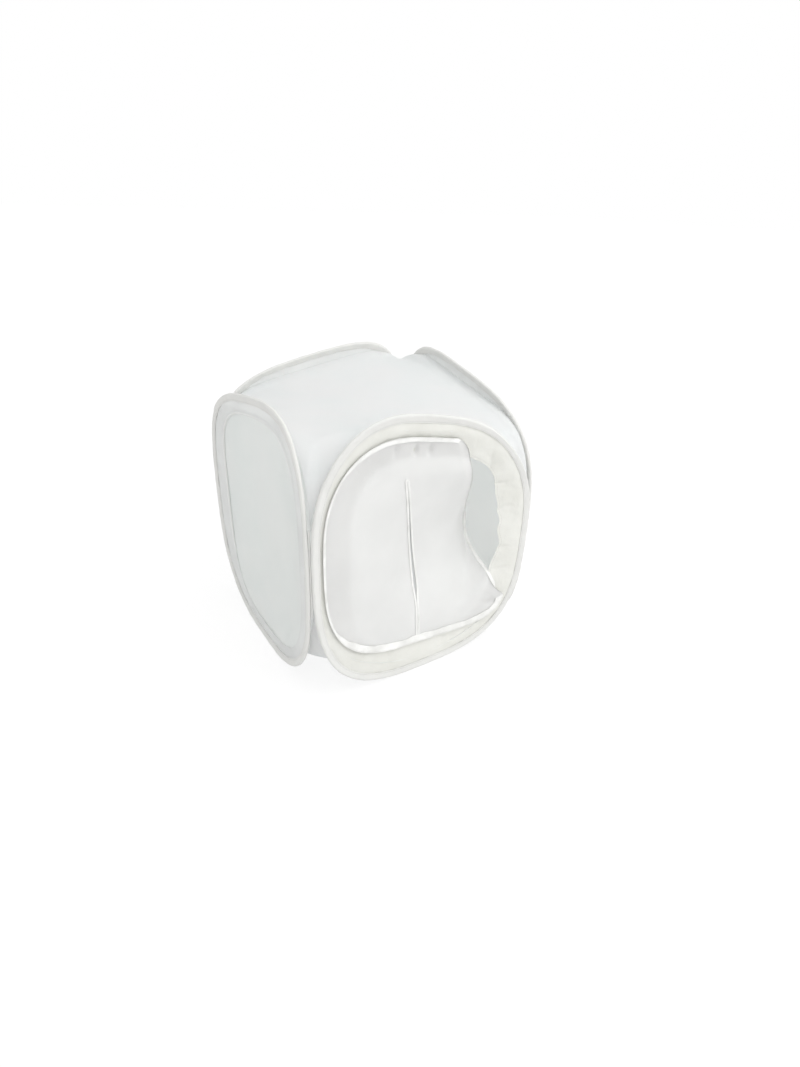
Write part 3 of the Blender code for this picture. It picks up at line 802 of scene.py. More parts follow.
@dataclass
class HoopCasing:
    """The cloth on one hoop: the folded sleeve round the wire and the border sewn behind its flange."""

    shape: TentShape
    side: Side
    first_seed: int = 11
    stations: int = 384
    # The sleeve.
    arc_steps: int = 16
    flange_steps: int = 5
    edge_share: float = 0.6
    pucker: float = 0.0006
    pucker_sizes: tuple[Dent, Dent] = ((0.012, 0.012, 0.014), (0.050, 0.050, 0.03))
    field_step: float = 0.003
    # The border's dents, folds and crumples.
    border_rows: int = 22
    band_share: float = 0.9
    border_dent: float = 0.0036
    dent_size: Dent = (0.034, 0.034, 0.11)
    fold_share: float = 0.7
    fold_size: Dent = (0.070, 0.070, 0.16)
    fold_sharpness: float = 5.0
    crumple_share: float = 0.3
    crumple_size: Dent = (0.017, 0.017, 0.022)
    side_dent: float = 0.0010
    slack_reach: float = 0.05
    # The front border's uneven inner edge.
    inner_wave: float = 0.002
    wave_size: Dent = (0.075, 0.075, 1.0)
    small_wave: float = 0.4
    small_wave_size: Dent = (0.025, 0.025, 1.0)
    # The rim that stands out round the side and back borders.
    piping: float = 0.0030
    piping_inset: float = 1.2
    piping_low: Step = Step(-0.24, 0.12)
    piping_high: Step = Step(0.10, 0.12)
    # Where no piping stands out, the painted highlight band is moved away under the lap.
    highlight_rim_hidden: float = 0.010

    def __post_init__(self) -> None:
        """Prepare the outline and this wall's own creases."""
        self.places, self.normals, self.length = self.shape.outline(self.stations)
        self.creases = CreaseField(self.first_seed + list(Side).index(self.side))
        self.run = np.arange(self.stations) * self.length / self.stations

    def build(self, casing: Material, border: Material) -> None:
        """Make and dress the sleeve and the border.

        Args:
            casing: The sleeve's material.
            border: The border's material.
        """
        label = self.side.label
        sleeve = self.sleeve().build()
        dress(sleeve, casing, self.side.body, label + "_hoop_sleeve")
        band = self.border().build()
        dress(band, border, self.side.body, label + "_border")
        width = float(self.border_reach().mean())

    def border_reach(self) -> Array:
        """Return the width of the border's band at each station, its lap behind the flange included.

        Returns:
            One width for each station.
        """
        shape = self.shape
        across, up = self.places.T
        if self.side is not Side.FRONT:
            return shape.side_reach(self.side, across) - shape.flange_width + shape.border_lap
        edge = self.closed_field(np.zeros((1, self.stations)))[0]
        wave = self.creases.at(edge, self.wave_size)
        wave = wave + self.small_wave * self.creases.at(edge, self.small_wave_size)
        puckers = (across > 0.0) * drawn_in(up, RING_PUCKERS)
        return shape.border_width + self.inner_wave * wave + puckers + shape.border_lap

    def piping_share(self) -> Array:
        """Return how much each station's rim stands out: a side wall's does along its rear and its top.

        Returns:
            One share for each station.
        """
        across, up = self.places.T
        if self.side in (Side.FRONT, Side.BACK):
            return np.ones(self.stations)
        rear = fade(2.0 * self.side.rearwards * across / self.shape.half[0])
        return np.maximum(rear * self.piping_low.at(up), self.piping_high.at(up))

    def closed_field(self, insets: Array) -> Array:
        """Return places for the crease noise on a cylinder, so that the band's two ends agree.

        Args:
            insets: How far inside the outline each place lies.

        Returns:
            The places on the cylinder.
        """
        angle = self.run[None] * 2 * math.pi / self.length
        radius = self.length / (2 * math.pi)
        return np.stack(np.broadcast_arrays(np.cos(angle) * radius, np.sin(angle) * radius, insets), -1)

    def spots(self, insets: Array) -> tuple[Array, Array]:
        """Return places across and up for rows of insets, one column for each station."""
        return tuple(self.places[None, :, axis] - self.normals[None, :, axis] * insets for axis in (0, 1))

    def sleeve(self) -> ClothSheet:
        """Shape the sleeve: one strip of cloth, from the flange's edge round the wire and back.

        Returns:
            The sleeve.
        """
        shape = self.shape
        radius = (shape.sleeve_diameter - shape.cloth) / 2
        centre = np.array([shape.sleeve_diameter / 2, 0.0])
        start = math.acos(radius / (shape.flange_width - centre[0]))
        lead = np.array([math.cos(start), math.sin(start)])
        edge = np.array([shape.flange_width, shape.cloth * self.edge_share])
        share = (np.arange(self.flange_steps) / self.flange_steps)[:, None]
        flange = edge + (centre + lead * radius - edge) * share
        angles = np.linspace(start, 2 * math.pi - start, self.arc_steps + 1)
        arc = np.stack([np.cos(angles), np.sin(angles)], -1)
        mirror = np.array([1.0, -1.0])
        path = np.concatenate([flange, centre + arc * radius, flange[::-1] * mirror])
        leads = np.concatenate([[lead] * self.flange_steps, arc, [lead * mirror] * self.flange_steps])
        field = self.closed_field(np.arange(len(path))[:, None] * self.field_step)
        swell = sum(self.creases.at(field, size) for size in self.pucker_sizes)
        faces = []
        for offset in (shape.cloth / 2, -shape.cloth / 2):
            moved = offset + swell * self.pucker
            inset, depth = (path[:, axis, None] + leads[:, axis, None] * moved for axis in (0, 1))
            faces.append(shape.on_wall(self.side, *self.spots(inset), depth))
        metres = np.stack(np.broadcast_arrays(self.run[None], run_lengths(path)[:, None]), -1)
        return ClothSheet(self.side.label + "_casing", *faces, metres, wrap=True)

    def border(self) -> ClothSheet:
        """Shape the border: a band of cloth that puckers more towards its inner edge.

        Returns:
            The border's band.
        """
        shape = self.shape
        share = np.linspace(0.0, 1.0, self.border_rows)[:, None]
        reach = self.border_reach()[None]
        insets = shape.flange_width - shape.border_lap + share * reach
        spots = self.spots(insets)
        field = self.closed_field(insets)
        slack = fade((insets - shape.flange_width) / self.slack_reach)
        shown = self.piping_share()[None]
        dent = 0.5 + 0.5 * self.creases.at(field, self.dent_size)
        to_rim = (1.0 - share) * reach
        if self.side is Side.FRONT:
            fold = self.creases.ridges(field, self.fold_size, self.fold_sharpness)
            crumple = self.creases.at(field, self.crumple_size) + 1.0
            dent = dent + self.fold_share * fold + self.crumple_share * crumple
            depth = -self.border_dent * slack * dent - shape.relief(*spots)
        else:
            depth = self.piping * shown * hump(to_rim, self.piping * self.piping_inset, self.piping)
            depth = depth - self.side_dent * slack * dent
        name = self.side.label + "_border_band"
        # The lengths across the band put its painted highlight over the piping only.
        lengths = (self.run[None], to_rim + self.highlight_rim_hidden * (1.0 - shown))
        depth = depth + shape.border_back
        return shape.wall_sheet(name, self.side, spots, depth, shape.cloth, lengths, wrap=True)


@dataclass
class WallPanel:
    """The thin cloth in the middle of one wall, sewn inside its border."""

    shape: TentShape
    side: Side
    first_seed: int = 31
    steps: int = 84
    billow: float = 0.007
    dent: float = 0.0022
    dent_size: Dent = (0.16, 0.22)
    small_share: float = 0.4
    small_size: Dent = (0.06, 0.15)
    corner_crease: float = 0.0012
    corner_size: Dent = (0.045, 0.045)
    corner_sharpness: float = 4.0
    corner_zone: Step = Step(0.25, 0.6)
    hidden_lap: float = 0.006
    behind: float = 0.0010
    cloth_share: float = 0.5
    area_share: float = 0.88

    def __post_init__(self) -> None:
        """Prepare this panel's own creases and its thin cloth."""
        self.creases = CreaseField(self.first_seed + list(Side).index(self.side))
        self.thickness = self.shape.cloth * self.cloth_share

    def build(self, material: Material) -> None:
        """Make and dress the panel.

        Args:
            material: The panel's material.
        """
        thing = self.panel().build()
        dress(thing, material, self.side.body, self.side.label + "_panel")

    def depth(self, field: Array, total: Array) -> Array:
        """Return the depth of the panel's outer face.

        Args:
            field: Places across and up.
            total: How far out each place lies: nought in the middle, one on the panel's edge.

        Returns:
            Depths in metres outside the wall's middle plane.
        """
        edge = 1.0 - np.clip(total, 0.0, 1.0) ** 4
        small = self.small_share * self.creases.at(field, self.small_size)
        soft = self.dent * (self.creases.at(field, self.dent_size) + small)
        return self.shape.border_back - self.behind - edge * (self.billow + soft)

    def panel(self) -> ClothSheet:
        """Shape the panel on a square grid that is drawn out to the hoop's outline.

        Returns:
            The panel.
        """
        shape = self.shape
        steps = np.linspace(-1.0, 1.0, self.steps + 1)
        grid = np.stack(np.meshgrid(steps, steps), -1)
        reach = np.abs(grid).max(-1)
        total = (np.abs(grid) ** shape.hoop_power).sum(-1) ** (1.0 / shape.hoop_power)
        some = np.maximum(total, TINY)
        pull = 1.0 + (np.where(total > 0.0, reach / some, 1.0) - 1.0) * reach**2
        ring = grid / some[..., None]
        inset = shape.side_reach(self.side, ring[..., 0] * shape.half[0]) - self.hidden_lap
        lead = ring * np.abs(ring) ** (shape.hoop_power - 2.0) / shape.half
        lead /= np.maximum(np.linalg.norm(lead, axis=-1), TINY)[..., None]
        field = (ring * shape.half - lead * inset[..., None]) * (total * pull)[..., None]
        corner = self.creases.ridges(field, self.corner_size, self.corner_sharpness)
        corner = self.corner_zone.at(np.abs(grid.prod(-1))) * corner * (1.0 - np.clip(total, 0.0, 1.0) ** 4)
        depth = self.depth(field, total) - self.corner_crease * corner - self.thickness
        places = (field[..., 0], field[..., 1])
        return shape.wall_sheet(self.side.label + "_diffuser", self.side, places, depth, self.thickness)


@dataclass
class SoftEnd:
    """The soft top or bottom: a cloth saddle whose corners run down between the hoops."""

    shape: TentShape
    direction: float
    seed: int = 51
    steps: int = 112
    edge_crowding: float = 1.7
    drop: float = 0.034
    sag: float = 0.012
    corner_power: float = 4.0
    edge_clearance: float = 0.0006
    tongue_reach: float = 0.996
    tongue_corner: float = 0.018
    flare_end: float = 0.88
    flare_fade: float = 0.10
    dent: float = 0.0030
    dent_size: Dent = (0.15, 0.15)
    small_share: float = 0.35
    small_size: Dent = (0.06, 0.06)
    ray_depth: float = 0.002
    ray_size: Dent = (0.05, 0.5)
    ray_sharpness: float = 4.0
    ray_turn: Place = (0.3, 0.2)
    ray_zone: Step = Step(0.15, 0.5)
    fold_keep: float = 0.115

    def build(self, material: Material) -> None:
        """Make the cloth in four quarters: each hangs on its own wall and rides on its body.

        Args:
            material: The cloth's material.
        """
        node = "top_panel" if self.direction > 0 else "bottom_panel"
        face, metres = self.face()
        inner = self.inner_face(face)
        faces = (face, inner) if self.direction > 0 else (inner, face)
        for side in Side:
            label = node.replace("_panel", "_cloth_") + side.label
            thing = ClothSheet(label, *faces, metres, cells=self.quarter(side)).build()
            dress(thing, material, side.body, node)
            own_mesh(thing)

    def quarter(self, side: Side) -> Array:
        """Return which cells of the grid lie nearest to one wall.

        Args:
            side: The wall.

        Returns:
            One truth value for each cell.
        """
        _, right, out = side.value
        places = np.arange(self.steps) + 0.5 - self.steps / 2
        across, along = np.meshgrid(places, places)
        outward = across * out[0] + along * out[1]
        aside = np.abs(across * right[0] + along * right[1])
        return outward >= aside if out[0] == 0.0 else outward > aside

    def inner_face(self, face: Array) -> Array:
        """Return the outer face's points moved inwards by the cloth's thickness.

        Args:
            face: The outer face's points.

        Returns:
            The inner face's points.
        """
        normals = np.cross(np.gradient(face, axis=1), np.gradient(face, axis=0))
        normals /= np.maximum(np.linalg.norm(normals, axis=2), TINY)[:, :, None]
        return face - normals * self.shape.cloth * self.direction

    def spread(self, value: Array) -> Array:
        """Move grid places towards the edges, where the cloth bends most."""
        size = 1.0 - (1.0 - np.abs(value)) ** self.edge_crowding
        return np.copysign(size * self.tongue_reach, value)

    def flare(self, across: Array, along: Array, reach: float) -> Array:
        """Return how far an edge moves out to meet the border that it is sewn to.

        Args:
            across: Grid places along the edge.
            along: Grid places towards the edge.
            reach: Half the cloth's side.

        Returns:
            Signed lengths in metres.
        """
        target = self.shape.wall_distance + self.shape.border_back - self.shape.layer_gap
        clear = np.clip((self.flare_end - np.abs(across)) / self.flare_fade, 0.0, 1.0)
        return np.copysign((target - reach * self.tongue_reach) * clear * np.abs(along) ** 12, along)

    def face(self) -> tuple[Array, Array]:
        """Return the outer face's points and its lengths in metres.

        Returns:
            The points, and where each lies on the flat cloth.
        """
        shape = self.shape
        creases = CreaseField(self.seed)
        grid = self.spread(np.linspace(-1.0, 1.0, self.steps + 1))
        across, along = np.meshgrid(grid, grid)
        reach = shape.pivot_distance - self.edge_clearance
        product = np.abs(across * along)
        arch = (1.0 - product**self.corner_power) ** (1.0 / shape.hoop_power)
        pull = 1.0 - self.tongue_corner * (across * along) ** 8
        inside = (1.0 - across**4) * (1.0 - along**4)
        field = np.stack([across, along], -1) * reach
        soft = creases.at(field, self.dent_size) + self.small_share * creases.at(field, self.small_size)
        turn = np.stack([np.arctan2(along, across), np.hypot(across, along)], -1) * self.ray_turn
        rays = creases.ridges(turn, self.ray_size, self.ray_sharpness)
        rays = rays * self.ray_zone.at(product) * inside**0.5
        rise = (shape.half_height - self.drop) * arch - self.ray_depth * rays
        level = shape.half_height + self.direction * rise + inside * (self.dent * soft - self.sag)
        if self.direction < 0:
            level = np.maximum(level, 0.0)
        x_place = across * reach * pull + self.flare(along, across, reach)
        y_place = along * reach * pull + self.flare(across, along, reach)
        return shape.settle(np.stack([x_place, y_place, level], -1)), field


@dataclass
class FrontCover:
    """The loose front cloth: fastened at its top, left and bottom, and pushed in on its right side."""

    shape: TentShape
    seed: int = 71
    steps: int = 150
    cloth_share: float = 0.6
    area_share: float = 0.86
    # The outline: its sides, its lower right corner and the arcs that meet at its left shoulders.
    left: float = -0.266
    right: float = 0.250
    top: float = 0.272
    bottom: float = -0.244
    corner: Place = (0.230, -0.184)
    top_arc: Arc = (135.0, 60.0, 240)
    bottom_arc: Arc = (225.0, 270.0, 120)
    left_arc: Arc = (225.0, 135.0, 200)
    # The curves of the loose edge, which starts on the top edge, and of the lower right corner.
    free_detail: int = 200
    free_start: float = 0.058
    turn_share: float = 0.12
    corner_pull: Place = (0.088, 0.262)
    corner_end: Place = (0.100, 0.225)
    upper_pull: Place = (0.150, 0.114)
    lower_pull: Place = (0.160, -0.134)
    bottom_pull: Place = (0.110, -0.004)
    bottom_corner_pull: Place = (-0.002, -0.022)
    bottom_detail: int = 160
    # How the cloth hangs on the ring, sinks towards the opening and is pushed in.
    lift: float = 0.0018
    bowl: float = 0.012
    bowl_zone: Step = Step(0.70, -0.70)
    push: float = 0.088
    push_reach: float = 0.208
    push_zone: Step = Step(0.70, -0.14)
    opening_half: float = 0.2005
    # Its dents, the gathers at its top and the dent beside its lower right corner.
    dents: Place = (0.0016, 0.0006)
    dent_sizes: tuple[Dent, Dent] = ((0.11, 0.16), (0.045, 0.07))
    dent_zone: Step = Step(0.86, -0.16)
    gathers: tuple[Pucker, ...] = (
        Pucker(-0.052, 0.0075, 0.006),
        Pucker(-0.014, 0.0060, 0.007),
        Pucker(-0.104, 0.00375, 0.007),
    )
    gather_height: Pucker = Pucker(0.243, 1.0, 0.011)
    corner_dent_across: Pucker = Pucker(0.196, 0.004, 0.02)
    corner_dent_up: Pucker = Pucker(-0.205, 1.0, 0.012)
    # How the loose edge curls in.
    curl: float = 0.006
    curl_on_ring: float = 0.0032
    curl_reach: float = 0.030
    curl_low_share: float = 0.35
    curl_upper: Step = Step(-0.10, 0.20)
    curl_right: Step = Step(0.020, 0.05)
    curl_above: Step = Step(-0.19, 0.04)
    on_ring: Step = Step(0.60, 0.08)
    # The slit: open in its upper part, shut and creased below.
    slit_closed: float = -0.142
    crease: float = 0.0014
    crease_half: float = 0.0030
    crease_zone: Step = Step(slit_closed, -0.03)
    slit_open_from: float = 0.165
    slit_widening: float = 0.230
    slit_narrowing: Step = Step(slit_closed, 0.055)
    slit_top: float = 0.175
    slit_bottom: float = -0.236
    slit_top_across: float = -0.067
    slit_bottom_across: float = -0.017
    slit_bow: float = 0.0165
    slit_least: float = 0.0005
    slit_opening: float = 0.0085
    slit_pull: float = 0.22
    slit_clear: float = 0.15
    lips: Place = (0.0022, -0.0016)
    lip_columns: float = 5.0
    lip_reach: float = 0.018
    # The hem: wide along the bottom, turned inwards along the loose edge.
    hem_width: float = 0.016
    hem_length: float = 1.75
    hem_step: float = 0.0045
    hem_share: float = 0.30
    hem_low: float = 0.80
    hem_crown: float = 0.25
    hem_free: float = 0.35
    hem_turn: float = 118.0
    hem_turn_more: float = 50.0
    hem_lap: float = 0.0006
    hem_gap: float = 0.0004
    hem_ripple: float = 0.0009
    hem_rumple: float = 0.0011
    hem_uneven: Place = (0.0008, 0.0022)
    uneven_size: Dent = (0.03, 0.03, 1.0)
    ripple_size: Dent = (0.03, 0.03, 0.03)
    ripple_rise: float = 0.02
    rumple_size: Dent = (0.022, 0.022, 0.02)
    rumple_rise: float = 0.03
    rumple_sharpness: float = 3.0
    low_zone: Step = Step(-0.150, -0.060)
    free_zone: Step = Step(0.056, 0.03)
    crown_zone: Step = Step(0.190, 0.060)
    turned_below: Step = Step(0.120, -0.100)
    turned_above: Step = Step(-0.180, 0.040)
    # The slit's binding.
    binding_width: float = 0.0050
    binding_end_steps: int = 16
    binding_share: float = 0.5
    binding_flat: Place = (0.010, 0.83)
    binding_area: float = 0.0060
    binding_start: float = 0.004
    binding_raise: float = 0.0008
    binding_lip: float = 1.2
    # The two tapes, and how many steps they stop short of the loose edge.
    tape_width: float = 0.010
    tape_length: float = 1.22
    tape_short: tuple[int, int] = (8, 6)
    hook_depth: float = 0.0007
    loop_depth: float = -0.0004
    tape_inset: float = 0.002
    tape_thickness: float = 0.0008

    def __post_init__(self) -> None:
        """Prepare the cover's own creases and its loose edge."""
        self.creases = CreaseField(self.seed)
        self.thickness = self.shape.cloth * self.cloth_share
        self.middle = np.array([(self.left + self.right) / 2, (self.top + self.bottom) / 2])
        self.reach = np.array([(self.right - self.left) / 2, (self.top - self.bottom) / 2])
        self.free_across, self.free_ups = self.free_edge(self.free_detail).T

    def outline_place(self, degrees: Array) -> Array:
        """Return places on the cover's rounded-square outline, anticlockwise from its right side.

        Args:
            degrees: Angles round the cover's middle.

        Returns:
            One place across and up for each angle.
        """
        angle = np.radians(degrees)
        waves = np.stack([np.cos(angle), np.sin(angle)], -1)
        return self.shape.rounded_square(waves, self.reach) + self.middle

    def free_edge(self, count: int) -> Array:
        """Return places on the loose right edge, from its lower corner to its top.

        Args:
            count: How many places to return.

        Returns:
            The places.
        """
        share = np.linspace(1.0, 0.0, count)
        turn = np.clip(share / self.turn_share, 0.0, 1.0)
        along = np.clip((share - self.turn_share) / (1.0 - self.turn_share), 0.0, 1.0)
        bend = drawn_curve(turn, self.top_curve()[-1], self.corner_pull, self.corner_end)
        line = drawn_curve(along, self.corner_end, self.upper_pull, self.lower_pull, self.corner)
        return np.where(share[:, None] < self.turn_share, bend, line)

    def top_curve(self) -> Array:
        """Return the top edge, from its left shoulder to where the loose edge starts."""
        arc = self.outline_place(np.linspace(*self.top_arc))
        return arc[arc[:, 0] <= self.free_start]

    def bottom_curve(self) -> Array:
        """Return the bottom edge, from its left shoulder to the lower right corner.

        Returns:
            Places on the edge.
        """
        arc = self.outline_place(np.linspace(*self.bottom_arc))
        first = arc[-1] + np.array(self.bottom_pull)
        second = np.array([self.corner[0], self.bottom]) + self.bottom_corner_pull
        share = np.linspace(0.0, 1.0, self.bottom_detail)[1:]
        bend = drawn_curve(share, arc[-1], first, second, self.corner)
        return np.concatenate([arc, bend])

    def edges(self) -> tuple[Array, ...]:
        """Return the bottom, top, left and right edges as evenly spaced places.

        Returns:
            Four lines, the last two from the bottom up.
        """
        left = self.outline_place(np.linspace(*self.left_arc))
        curves = (self.bottom_curve(), self.top_curve(), left, self.free_edge(self.free_detail))
        return tuple(even_places(curve, self.steps + 1) for curve in curves)

    def slit_across(self, up: Array) -> Array:
        """Return where the slit's line lies at a height.

        Args:
            up: Places up the front.

        Returns:
            Places across the front.
        """
        share = (up - self.slit_bottom) / (self.slit_top - self.slit_bottom)
        bow = self.slit_bow * np.sin(np.pi * np.clip(share, 0.0, 1.0))
        return self.slit_bottom_across + (self.slit_top_across - self.slit_bottom_across) * share + bow

    def slit_width(self, up: Array) -> Array:
        """Return how far the slit stands open at a height.

        Args:
            up: Places up the front.

        Returns:
            Widths in metres.
        """
        inside = (up < self.slit_top) & (up > self.slit_closed)
        swell = np.clip((self.slit_open_from - up) / self.slit_widening, 0.0, 1.0)
        swell = swell * self.slit_narrowing.at(up)
        return np.where(inside, self.slit_least + self.slit_opening * swell, 0.0)

    def depth(self, across: Array, up: Array) -> Array:
        """Return the depth of the cover's back face.

        Args:
            across: Places across the front.
            up: Places up the front.

        Returns:
            Depths in metres outside the wall's middle plane.
        """
        share = self.shape.ring_share(across, up)
        sink = self.shape.relief(across, up) + self.bowl * self.bowl_zone.at(share)
        ramp = np.clip(across / self.opening_half + 1.0, 0.0, 3.0) / 2.0
        hold = np.clip(1.0 - (up / self.push_reach) ** 2, 0.0, 1.0)
        push = self.push * ramp**2 * hold**2 * self.push_zone.at(share)
        return self.lift - sink - push + self.wrinkles(across, up, share) - self.tucks(across, up, share)

    def wrinkles(self, across: Array, up: Array, share: Array) -> Array:
        """Return how far the loose cloth's own dents and gathers stand out.

        Args:
            across: Places across the front.
            up: Places up the front.
            share: How far out each place lies on the ring.

        Returns:
            Lengths in metres, outwards.
        """
        field = np.stack([across, up], -1)
        soft = sum(self.creases.at(field, size) * depth for size, depth in zip(self.dent_sizes, self.dents))
        gather = drawn_in(across, self.gathers) * drawn_in(up, (self.gather_height,))
        corner = drawn_in(across, (self.corner_dent_across,)) * drawn_in(up, (self.corner_dent_up,))
        return self.dent_zone.at(share) * soft - gather - corner

    def tucks(self, across: Array, up: Array, share: Array) -> Array:
        """Return how far the loose edge curls in and the shut slit sinks.

        Args:
            across: Places across the front.
            up: Places up the front.
            share: How far out each place lies on the ring.

        Returns:
            Lengths in metres, inwards.
        """
        near_edge = fade(1.0 - (np.interp(up, self.free_ups, self.free_across) - across) / self.curl_reach)
        on_ring = self.on_ring.at(share)
        upper = self.curl_low_share + (1.0 - self.curl_low_share) * self.curl_upper.at(up)
        curl = (self.curl * (1.0 - on_ring) + self.curl_on_ring * on_ring) * upper
        tucked = curl * near_edge * self.curl_right.at(across) * self.curl_above.at(up)
        closed = hump(across - self.slit_across(up), 0.0, self.crease_half) * self.crease_zone.at(up)
        return tucked + self.crease * closed

    def grid(self) -> tuple[Array, int]:
        """Return the cover's flat places, and the column where the slit runs.

        Returns:
            Rows and columns of places, and the slit's column.
        """
        bottom, top, left, right = self.edges()
        u = np.linspace(0.0, 1.0, self.steps + 1)[None, :, None]
        v = np.linspace(0.0, 1.0, self.steps + 1)[:, None, None]
        low, high = (line[0] * (1 - u) + line[-1] * u for line in (bottom, top))
        places = left[:, None] * (1 - u) + right[:, None] * u + (bottom - low) * (1 - v) + (top - high) * v
        middle = places[self.steps // 2, :, 0]
        column = int(np.argmin(np.abs(middle - self.slit_across(np.array(0.0)))))
        line = places[:, column]
        shift = self.slit_across(line[:, 1]) - line[:, 0]
        index = np.arange(self.steps + 1)
        near = hump(index, column, self.slit_pull * self.steps)
        near = near * fade(np.minimum(index, self.steps - index) / (self.slit_clear * self.steps))
        places[..., 0] += shift[:, None] * near
        return places, column

    def cloth(self) -> ClothSheet:
        """Shape the cover with its slit.

        Returns:
            The cover.
        """
        places, column = self.grid()
        places = np.insert(places, column, places[:, column], axis=1)
        across, up = places[..., 0], places[..., 1]
        width = self.slit_width(up[:, column])[:, None]
        index = np.arange(across.shape[1])[None, :]
        on_left = index <= column
        fall = np.exp(-np.where(on_left, column - index, index - column - 1) / self.lip_columns)
        across = across + np.where(on_left, -0.5, 0.5) * width * fall
        lip = np.where(on_left, *self.lips) * width / self.slit_opening * fall
        depth = self.depth(across, up) + lip
        return self.shape.wall_sheet(
            "front_cover_cloth", Side.FRONT, (across, up), depth, self.thickness, cut_column=column
        )

    def boundary(self, count: int) -> tuple[Array, Array]:
        """Return even places all round the cover's edge, and the inward direction at each.

        Args:
            count: How many places to return.

        Returns:
            The places and the directions.
        """
        bottom, top, left, right = self.edges()
        loop = np.concatenate([bottom[:-1], right[:-1], top[::-1][:-1], left[::-1][:-1]])
        loop = even_places(np.concatenate([loop, loop[:1]]), count + 1)[:-1]
        ahead = np.roll(loop, -2, 0) - np.roll(loop, 2, 0)
        inward = np.stack([-ahead[:, 1], ahead[:, 0]], -1)
        return loop, inward / np.linalg.norm(inward, axis=1)[:, None]

    def hem(self, count: int = 420, rows: int = 6) -> ClothSheet:
        """Shape the doubled hem, a strip on the cover's front face all round its edge.

        Args:
            count: The number of steps round the edge.
            rows: The number of rows of points across the strip.

        Returns:
            The strip, which turns inwards along the loose edge.
        """
        loop, inward = self.boundary(count)
        edge_across, edge_up = loop.T
        angle = np.arange(count) * 2 * math.pi / count
        radius = count * self.hem_step / (2 * math.pi)
        field = np.stack([np.cos(angle), np.sin(angle), 0.0 * angle], -1) * radius
        low = self.low_zone.at(edge_up)
        free = self.free_zone.at(edge_across) * (1.0 - low)
        crown = self.crown_zone.at(edge_up) * (1.0 - free)
        width = self.hem_share + self.hem_low * low + self.hem_crown * crown + self.hem_free * free
        uneven = self.hem_uneven[0] + self.hem_uneven[1] * low
        width = self.hem_width * width + uneven * self.creases.at(field, self.uneven_size)
        widest = self.turned_below.at(edge_up) * self.turned_above.at(edge_up)
        turned = np.radians(self.hem_turn + self.hem_turn_more * widest) * free
        share = np.linspace(0.0, 1.0, rows)[:, None]
        aside = share * width * np.cos(turned) - self.hem_lap * (1.0 - share)
        across, up = (loop[:, axis] + inward[:, axis] * aside for axis in (0, 1))
        rise = share[..., None] * np.array([0.0, 0.0, 1.0])
        ripple = 0.5 + 0.5 * self.creases.at(field + self.ripple_rise * rise, self.ripple_size)
        rumpled = field + self.rumple_rise * rise
        rumple = self.creases.ridges(rumpled, self.rumple_size, self.rumple_sharpness)
        depth = self.depth(across, up) * (1.0 - free) + self.depth(edge_across, edge_up) * free
        depth = depth - share * width * np.sin(turned) + self.thickness + self.hem_gap
        depth = depth + self.hem_ripple * ripple + self.hem_rumple * rumple * low
        lengths = (np.arange(count)[None] * self.hem_step, share * self.hem_width)
        return self.shape.wall_sheet(
            "front_cover_hem_strip", Side.FRONT, (across, up), depth, self.shape.cloth, lengths, wrap=True
        )

    def binding(self, steps: int = 120, rows: int = 5) -> ClothSheet:
        """Shape the sewn band that runs up one side of the slit, round its end and down the other.

        Args:
            steps: The number of steps up each side.
            rows: The number of rows of points across the band.

        Returns:
            The band.
        """
        heights = np.linspace(self.slit_bottom + self.binding_start, self.slit_top, steps)
        near = self.slit_width(heights) / 2 + self.shape.layer_gap
        middle = self.slit_across(heights)
        end = (float(self.slit_across(np.array(self.slit_top))), self.slit_top)
        radius = float(self.slit_width(np.array(self.slit_top - 1e-6))) / 2 + self.shape.layer_gap
        angles = math.pi * np.arange(1, self.binding_end_steps) / self.binding_end_steps
        arc = np.stack([np.cos(angles), np.sin(angles)], -1)
        lines = []
        for extra in (0.0, self.binding_width):
            legs = [np.stack([middle + sign * (near + extra), heights], -1) for sign in (1.0, -1.0)]
            lines.append(np.concatenate([legs[0], end + arc * (radius + extra), legs[1][::-1]]))
        share = np.linspace(0.0, 1.0, rows)[:, None]
        across, up = (lines[0][:, axis] * (1 - share) + lines[1][:, axis] * share for axis in (0, 1))
        beside = across - self.slit_across(up)
        lip = np.where(beside < 0.0, *self.lips) * self.slit_width(up) / self.slit_opening
        lip = np.maximum(lip * np.exp(-np.abs(beside) / self.lip_reach), 0.0) * self.binding_lip
        depth = self.depth(across, up) + self.thickness + self.binding_raise + lip
        lengths = (run_lengths(lines[0])[None], share * self.binding_width)
        name = "slit_binding_band"
        thickness = self.shape.cloth * self.binding_share
        return self.shape.wall_sheet(name, Side.FRONT, (across, up), depth, thickness, lengths)

    def tape(self, name: str, back_depth: float, count: int = 260) -> ClothSheet:
        """Shape a tape along the fastened part of the cover's edge.

        Args:
            name: The piece's name.
            back_depth: How far the tape's back face lies before the relief of the ring.
            count: The number of places along the tape.

        Returns:
            The tape.
        """
        bottom, top, left, _ = self.edges()
        first, last = self.tape_short
        line = even_places(np.concatenate([bottom[::-1][first:-1], left[:-1], top[:-last]]), count)
        ahead = np.gradient(line, axis=0)
        inward = np.stack([ahead[:, 1], -ahead[:, 0]], -1)
        inward /= np.linalg.norm(inward, axis=1)[:, None]
        share = np.linspace(0.0, 1.0, 3)[:, None]
        inset = self.tape_inset + share * self.tape_width
        places = tuple(line[:, axis] + inward[:, axis] * inset for axis in (0, 1))
        depth = back_depth - self.shape.relief(*places)
        lengths = (run_lengths(line)[None], share * self.tape_width)
        return self.shape.wall_sheet(name, Side.FRONT, places, depth, self.tape_thickness, lengths)

